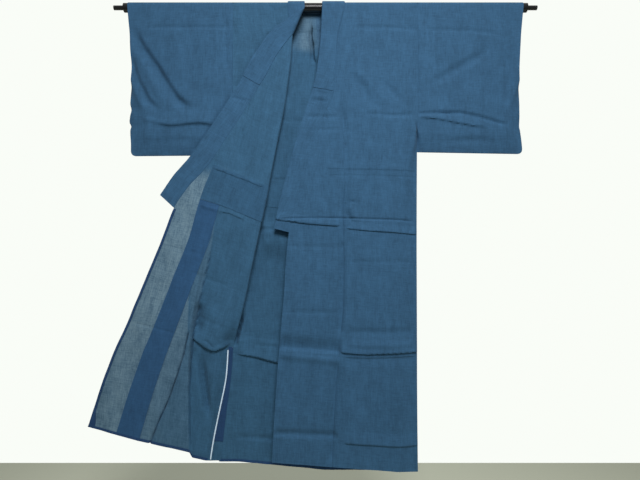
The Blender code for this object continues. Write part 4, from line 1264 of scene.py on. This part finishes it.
def plain(name, hex_colour, roughness):
    """Matt paint or paper, with faint mottling."""
    finish, tree, main = shader(name, Roughness=roughness)
    base = linear(hex_colour)
    mottle = object_noise(tree, 3.0, 3.0)
    finish_with(tree, main, blend(tree, mottle, [c * 0.97 for c in base], base))
    return finish


def finishes(context):
    """The object's materials, made once and found again by name."""
    colours = context.scene.yukata_colours
    made = bpy.data.materials
    if "cotton_outside" not in made:
        for name, hex_colour, contrast in (
                ("cotton_outside", colours.face, 1.0), ("cotton_inside", colours.inside, 1.0),
                # Painted shade: the lined parts' cotton is drawn darker than the single cloth, as
                # two layers let less light through.
                ("cotton_double_shaded", colours.double, 0.8), ("cotton_tuck", colours.tuck, 1.0),
                # Painted shade: drawn darker than the cloth for the shadow the seam allowance
                # lies in; the hems take the same colour.
                ("cotton_turned_in_shaded", colours.turned_in_shaded, 0.8),
                ("white_selvedge", colours.selvedge, 0.4)):
            woven_cotton(name, hex_colour, contrast)
        lacquer("urushi_lacquer", colours.lacquer)
    return made


# ---------------------------------------------------------------- settings
class YukataSizes(bpy.types.PropertyGroup):
    wall: FloatProperty(name="Cloth", description="Wall of one layer of cloth",
                        default=0.0007, unit="LENGTH")
    spacing: FloatProperty(name="Spacing", description="Distance between points of the cloth",
                           default=0.005, unit="LENGTH")
    fold_depth: FloatProperty(name="Folds", description="Depth of the creases, as a share",
                              default=1.0, subtype="FACTOR", soft_min=0.0, soft_max=2.0)
    unevenness: FloatProperty(name="Unevenness", description="Height of soft waves, metres",
                              default=0.0012, unit="LENGTH")
    hem: FloatProperty(name="Hem", description="Width of the turned hems",
                       default=0.008, unit="LENGTH")


class YukataColours(bpy.types.PropertyGroup):
    face: StringProperty(name="Cotton", description="sRGB hex of the outside", default="#345979")
    inside: StringProperty(name="Inside", description="sRGB hex of the inside",
                           default="#345A78")
    # Painted shade: lined parts are drawn darker, as two layers let less light through.
    double: StringProperty(name="Double", description="sRGB hex of lined parts",
                           default="#2D5176")
    # Painted shade: darker than the cloth for the shadow the seam allowance lies in; the hems
    # share it.
    turned_in_shaded: StringProperty(name="Turned in", description="sRGB hex of hems and seam allowance",
                              default="#254268")
    tuck: StringProperty(name="Tuck", description="sRGB hex of the tucks", default="#325776")
    selvedge: StringProperty(name="Selvedge", description="sRGB hex of the selvedge",
                             default="#D6EBFF")
    lacquer: StringProperty(name="Rod", description="sRGB hex of the rod", default="#0B0C0E")


class YukataStage(bpy.types.PropertyGroup):
    floor: StringProperty(name="Floor", description="sRGB hex of the floor", default="#ACAF9E")
    surround: FloatProperty(name="Surround", description="Brightness of the pale surround",
                            default=0.98, min=0.0)
    ambient: FloatProperty(name="Ambient", description="Light that comes from all round",
                           default=0.31, min=0.0)
    key: FloatProperty(name="Key light", description="Power of the large soft light",
                       default=19.0, min=0.0, unit="POWER")


# ---------------------------------------------------------------- operators
class PolishRod(bpy.types.Operator):
    """Gives the rod its lacquer"""
    bl_idname = "yukata.polish_rod"
    bl_label = "Rod"

    def execute(self, context):
        for place in bpy.data.objects["rod"].material_slots:
            place.material = finishes(context)["urushi_lacquer"]
        return {"FINISHED"}


class HangLeftBody(bpy.types.Operator):
    """Hangs the wearer's left: front, shoulder and back in one length of cloth"""
    bl_idname = "yukata.hang_left_body"
    bl_label = "Left body"

    def execute(self, context):
        piece = cloth(context, "left_body_cloth", left_body_grids(context.scene.yukata_sizes),
                      "cotton_outside", "left_body", light_through=through_open_body)
        return {"FINISHED"}


class HangLeftOverlap(bpy.types.Operator):
    """Hangs the left overlap panel and the spare cloth and tuck behind it"""
    bl_idname = "yukata.hang_left_overlap"
    bl_label = "Left overlap"

    def execute(self, context):
        sizes = context.scene.yukata_sizes
        down = rows_down(OVERLAP_TOP, BACK_LENGTH, sizes, FINE_ROWS)
        seam, edge = left_edges(down)
        edge = edge - TURNED_IN * (down <= COLLAR_END)
        across = shares(OVERLAP_WIDTH, sizes.spacing)
        x, points = left_panel(down, seam, edge, across, -ON_TOP, sizes)
        grid = on_cloth(points, OVERLAP_FLAT + seam - x, down)
        piece = cloth(context, "left_overlap_cloth", [grid], "cotton_outside", "left_overlap")

        down = down[down[:, 0] >= FRONT_TUCKS["left"][1] + 0.002]
        seam, edge = left_edges(down)
        across = shares(SPARE_SPAN, sizes.spacing) * spare_share(seam - edge)
        x, points = left_panel(down, seam, edge, across, LIFT, sizes)
        grid = on_cloth(points, SPARE_FLAT + seam - x, down)
        piece = cloth(context, "left_spare_cloth", [grid], "cotton_double_shaded", "left_allowance")

        down = rows_down(*FRONT_TUCKS["left"], sizes)
        seam, edge = left_edges(down)
        start = mix(seam, edge, spare_share(seam - edge))
        end = mix(seam, SIDES.read("left_x", down), TUCK_REACH)
        x, points = left_panel(down, start, end, shares(0.26, sizes.spacing), LIFT, sizes)
        piece = cloth(context, "left_front_tuck_cloth", [on_cloth(points, x, down)],
                      "cotton_inside", "left_front_tuck")
        return {"FINISHED"}


class HangRightBody(bpy.types.Operator):
    """Hangs the wearer's right: back, shoulder and the front that is rolled open"""
    bl_idname = "yukata.hang_right_body"
    bl_label = "Right body"

    def execute(self, context):
        sizes = context.scene.yukata_sizes
        piece = cloth(context, "right_body_cloth", right_body_grids(sizes), "cotton_inside",
                      "right_body", light_through=through_open_body)

        down = rows_down(*ALLOWANCE_ROWS, sizes, FLAP_ROWS)
        across = np.linspace(0.0, 1.0, 8)[None, :]
        grid = on_flap(down, lambda seen: across * seen, LIFT, sizes)
        piece = cloth(context, "side_allowance_cloth", [grid], "cotton_turned_in_shaded",
                      "side_allowance")

        down = rows_down(*SELVEDGE_ROWS, sizes, FLAP_ROWS)
        grid = on_flap(down, lambda seen: seen + np.array([SELVEDGE]), LIFT + 0.0009, sizes)
        cloth(context, "selvedge", [grid], "white_selvedge")
        return {"FINISHED"}


class HangRightOverlap(bpy.types.Operator):
    """Hangs the right overlap panel, with the spare cloth and the tuck that face forward"""
    bl_idname = "yukata.hang_right_overlap"
    bl_label = "Right overlap"

    def execute(self, context):
        sizes = context.scene.yukata_sizes
        down = rows_down(OVERLAP_TOP, OPEN_LENGTH, sizes, FLAP_ROWS)
        points, lefts = overlap_grid(down, shares(OVERLAP_WIDTH, sizes.spacing * 0.8), sizes)
        points[..., 1] -= ON_TOP
        grid = on_cloth(points, OVERLAP_FLAT - lefts, down)
        piece = cloth(context, "right_overlap_cloth", [grid], "cotton_inside", "right_overlap",
                      light_through=through_open_front)

        top, bottom = FRONT_TUCKS["right"]
        down = rows_down(bottom + 0.001, OPEN_LENGTH, sizes, FLAP_ROWS)
        across = shares(SPARE_SPAN, sizes.spacing * 0.8) * spare_reach(down)
        points, lefts = overlap_grid(down, across, sizes)
        points[..., 1] -= LIFT + ON_TOP
        grid = on_cloth(points, SPARE_FLAT - lefts, down)
        piece = cloth(context, "right_spare_cloth", [grid], "cotton_double_shaded", "right_allowance")

        down = rows_down(top, bottom, sizes, FLAP_ROWS)
        hidden = under_points(down, sizes)[:, :18]
        flap, _ = flap_grid(down, sizes)
        spare, _ = overlap_grid(down, shares(0.05, sizes.spacing) * spare_reach(down), sizes)
        whole = np.concatenate((hidden[:, :0:-1], flap[:, :-1], spare[:, 1:]), axis=1)
        outward = normals(whole)
        whole = whole - outward * np.sign(np.mean(outward[:, -20:, 1])) * LIFT
        piece = cloth(context, "right_front_tuck_cloth", [on_cloth(whole, -lengths(whole), down)],
                      "cotton_tuck", "right_front_tuck")
        return {"FINISHED"}


class FoldBackTucks(bpy.types.Operator):
    """Lays the tuck that takes up the back's length on the inside, either side"""
    bl_idname = "yukata.fold_back_tucks"
    bl_label = "Back tucks"

    def execute(self, context):
        sizes = context.scene.yukata_sizes
        down = rows_down(*BACK_TUCK, sizes)
        for side, neck_x in (("left", NECK_LEFT), ("right", NECK_RIGHT)):
            centre = CENTRE_BACK.read("x", down) + math.copysign(0.0006, neck_x)
            end = mix(neck_x, SIDES.read(side + "_x", down), TUCK_REACH)
            x = mix(centre, end, shares(0.25, sizes.spacing))
            points = back_points(side, down, x, sizes)
            points[..., 1] -= LIFT
            piece = cloth(context, side + "_back_tuck_cloth", [on_cloth(points, np.abs(x), down)],
                          "cotton_inside", side + "_back_tuck")
        return {"FINISHED"}


class TurnHems(bpy.types.Operator):
    """Turns the hems to the inside, along the bottom and up the front edges"""
    bl_idname = "yukata.turn_hems"
    bl_label = "Hems"

    def execute(self, context):
        sizes = context.scene.yukata_sizes
        fine = sizes.spacing * 0.4
        forward, behind = np.array((0.0, -LIFT, 0.0)), np.array((0.0, LIFT, 0.0))

        low = column(spaced(OPEN_LENGTH - sizes.hem, OPEN_LENGTH - EDGE_LAP, fine))
        long = rows_down(COLLAR_END + 0.002, OPEN_LENGTH - EDGE_LAP, sizes, FLAP_ROWS)
        _, width = towards(open_part("seam", long), open_part("edge", long))
        mitred = 1 + MITRE * clear(long, MITRE_ROWS)
        narrow = sizes.hem * mitred / width
        edge, lefts = overlap_grid(long, 1 - narrow * np.linspace(1.0, 0.02, 5)[None, :], sizes)
        panel, lows = overlap_grid(low, shares(OVERLAP_WIDTH, sizes.spacing), sizes)
        flap, flaps = flap_grid(low, sizes, 0.0)
        grids = [on_cloth(edge + forward * HEM_ON_OVERLAP, OVERLAP_FLAT - lefts, long),
                 on_cloth(panel + forward * HEM_ON_OVERLAP, OVERLAP_FLAT - lows, low),
                 on_cloth(flap[:, 10:-1] + forward, -flaps[:, 10:-1], low)]
        cloth(context, "open_hems", grids, "cotton_turned_in_shaded")

        low = column(spaced(BACK_LENGTH - sizes.hem, BACK_LENGTH - EDGE_LAP, fine))
        side_x = SIDES.read("left_x", low)
        x = mix(LEFT_FRONT.read("edge_x", low), side_x - 0.004, shares(0.44, sizes.spacing))
        long = long[long[:, 0] < BACK_LENGTH]
        up_x = LEFT_FRONT.read("edge_x", long) + sizes.hem * np.linspace(0.02, 1.0, 5)[None, :]
        front, upright = (left_front(rows, places, sizes) + behind * HEM_BEHIND_FRONT
                          for rows, places in ((low, x), (long, up_x)))
        grids = [on_cloth(front, side_x - x, low),
                 on_cloth(upright, OVERLAP_FLAT - up_x, long)]
        for side in ("left", "right"):
            x = mix(CENTRE_BACK.read("x", low), SIDES.read(side + "_x", low),
                    shares(0.30, sizes.spacing) * 0.99)
            grids.append(on_cloth(back_points(side, low, x, sizes) + forward, np.abs(x), low))
        cloth(context, "hung_hems", grids, "cotton_turned_in_shaded")
        return {"FINISHED"}


class WrapCollar(bpy.types.Operator):
    """Lays the collar round the neck and down both fronts, and its cover round it"""
    bl_idname = "yukata.wrap_collar"
    bl_label = "Collar"

    def execute(self, context):
        sizes = context.scene.yukata_sizes
        grid = collar_grid(sizes)
        v = column(lengths(grid[None, :, 0])[0])
        piece = cloth(context, "collar_cloth", [on_cloth(grid, lengths(grid), v)],
                      "cotton_outside", "collar", wall=COLLAR_WALL)

        hung_down = spaced(0.0, COLLAR_END, sizes.spacing, FINE_ROWS)[::-1]
        first = int(np.argmin(np.abs(hung_down - COVER_END - COVER_HANG)))
        open_down = spaced(ROLL_START, COLLAR_END, sizes.spacing)[1:]
        last = len(grid) - int(np.sum(open_down > OPEN_COVER_END))
        part, face = grid[first:last, 1:], normals(grid)[first:last, 1:]
        beyond = part[:, -1] - part[:, -2]
        beyond /= np.linalg.norm(beyond, axis=1, keepdims=True)
        edge, turn = (part[:, -1:] + beyond[:, None] * past for past in (0.0008, 0.0016))
        lift = face * (COLLAR_WALL / 2 + COVER_STAND)
        whole = np.concatenate((part + lift, edge + lift[:, -1:] * 0.8, turn,
                                edge - lift[:, -1:] * 0.8, (part - lift)[:, ::-1]), axis=1)
        piece = cloth(context, "collar_cover_cloth",
                      [on_cloth(whole, COVER_FLAT + lengths(whole), v[first:last])],
                      "cotton_outside", "collar_cover")
        return {"FINISHED"}


class HangSleeves(bpy.types.Operator):
    """Hangs both sleeves on the rod"""
    bl_idname = "yukata.hang_sleeves"
    bl_label = "Sleeves"

    def execute(self, context):
        for side in ("left", "right"):
            grid = sleeve_grid(side, context.scene.yukata_sizes)
            piece = cloth(context, side + "_sleeve_cloth", [grid], "cotton_outside",
                          side + "_sleeve")
        return {"FINISHED"}


LAMP_AIM = Vector((0.0, 0.0, -0.7))
FLOOR_LEVEL = -1.72
FLOOR_REACH = (2.4, 0.74, 1.0)
CAMERA_PLACE = (-0.018, -1.557, -0.926)
CAMERA_PITCH = math.radians(95.39)
CAMERA_LENS = 27.56


class SetStage(bpy.types.Operator):
    """Sets the pale floor and surround, the soft lights and the camera"""
    bl_idname = "yukata.set_stage"
    bl_label = "Stage"

    def execute(self, context):
        stage = context.scene.yukata_stage
        scene = context.scene
        shape = bmesh.new()
        bmesh.ops.create_grid(shape, x_segments=1, y_segments=1, size=1.0)
        mesh = bpy.data.meshes.new("floor")
        shape.to_mesh(mesh)
        shape.free()
        floor = bpy.data.objects.new("floor", mesh)
        floor.location = (0.0, 0.0, FLOOR_LEVEL)
        floor.scale = FLOOR_REACH
        scene.collection.objects.link(floor)
        mesh.materials.append(plain("pale_floor", stage.floor, 0.8))

        world = bpy.data.worlds.new("surround")
        scene.world = world
        world.use_nodes = True
        tree = world.node_tree
        # The light that comes from all round is strongest from above.
        height = add(tree, "ShaderNodeSeparateXYZ", {
            "Vector": add(tree, "ShaderNodeTexCoord").outputs["Generated"]}).outputs["Z"]
        around = add(tree, "ShaderNodeMapRange", {"Value": height, "From Min": -1.0,
                                                  "To Min": 0.3 * stage.ambient,
                                                  "To Max": 1.5 * stage.ambient})
        seen = add(tree, "ShaderNodeLightPath").outputs["Is Camera Ray"]
        power = add(tree, "ShaderNodeMapRange", {"Value": seen, "To Max": stage.surround,
                                                 "To Min": around.outputs["Result"]})
        back = tree.nodes["Background"]
        back.inputs["Color"].default_value = (0.97, 1.0, 0.95, 1.0)
        tree.links.new(power.outputs["Result"], back.inputs["Strength"])

        for name, power, place in (("key", stage.key, Vector((0.25, -2.1, 1.1))),
                                   ("back_key", stage.key * 0.9, Vector((-0.3, 2.1, 1.1)))):
            data = bpy.data.lights.new(name, "AREA")
            data.energy = power
            data.size = 1.0
            data.spread = math.radians(90)
            lamp = bpy.data.objects.new(name, data)
            lamp.location = place
            lamp.rotation_euler = (LAMP_AIM - place).to_track_quat("-Z", "Y").to_euler()
            lamp.visible_glossy = name == "key"
            scene.collection.objects.link(lamp)

        data = bpy.data.cameras.new("camera")
        data.lens = CAMERA_LENS
        data.sensor_width = 36.0
        camera = bpy.data.objects.new("camera", data)
        camera.location = CAMERA_PLACE
        camera.rotation_euler = (CAMERA_PITCH, 0.0, 0.0)
        scene.collection.objects.link(camera)
        scene.camera = camera
        scene.view_settings.view_transform = "Standard"
        return {"FINISHED"}


STEPS = (PolishRod, HangLeftBody, HangLeftOverlap, HangRightBody, HangRightOverlap,
         FoldBackTucks, TurnHems, WrapCollar, HangSleeves, SetStage)
SETTINGS = {"yukata_sizes": YukataSizes, "yukata_colours": YukataColours,
            "yukata_stage": YukataStage}


class YUKATA_PT_make(bpy.types.Panel):
    bl_idname = "YUKATA_PT_make"
    bl_label = "Yukata"
    bl_space_type = "VIEW_3D"
    bl_region_type = "UI"
    bl_category = "Yukata"

    def draw(self, context):
        for name, group in SETTINGS.items():
            box = self.layout.box()
            for prop in group.__annotations__:
                box.prop(getattr(context.scene, name), prop)
        for step in STEPS:
            self.layout.operator(step.bl_idname)


def register():
    for item in (*SETTINGS.values(), *STEPS, YUKATA_PT_make):
        bpy.utils.register_class(item)
    for name, group in SETTINGS.items():
        setattr(bpy.types.Scene, name, bpy.props.PointerProperty(type=group))


def unregister():
    for name in SETTINGS:
        delattr(bpy.types.Scene, name)
    for item in (YUKATA_PT_make, *reversed(STEPS), *SETTINGS.values()):
        bpy.utils.unregister_class(item)


def main():
    register()
    for step in STEPS:
        getattr(bpy.ops.yukata, step.bl_idname.split(".")[1])()
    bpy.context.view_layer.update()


if __name__ == "__main__":
    main()
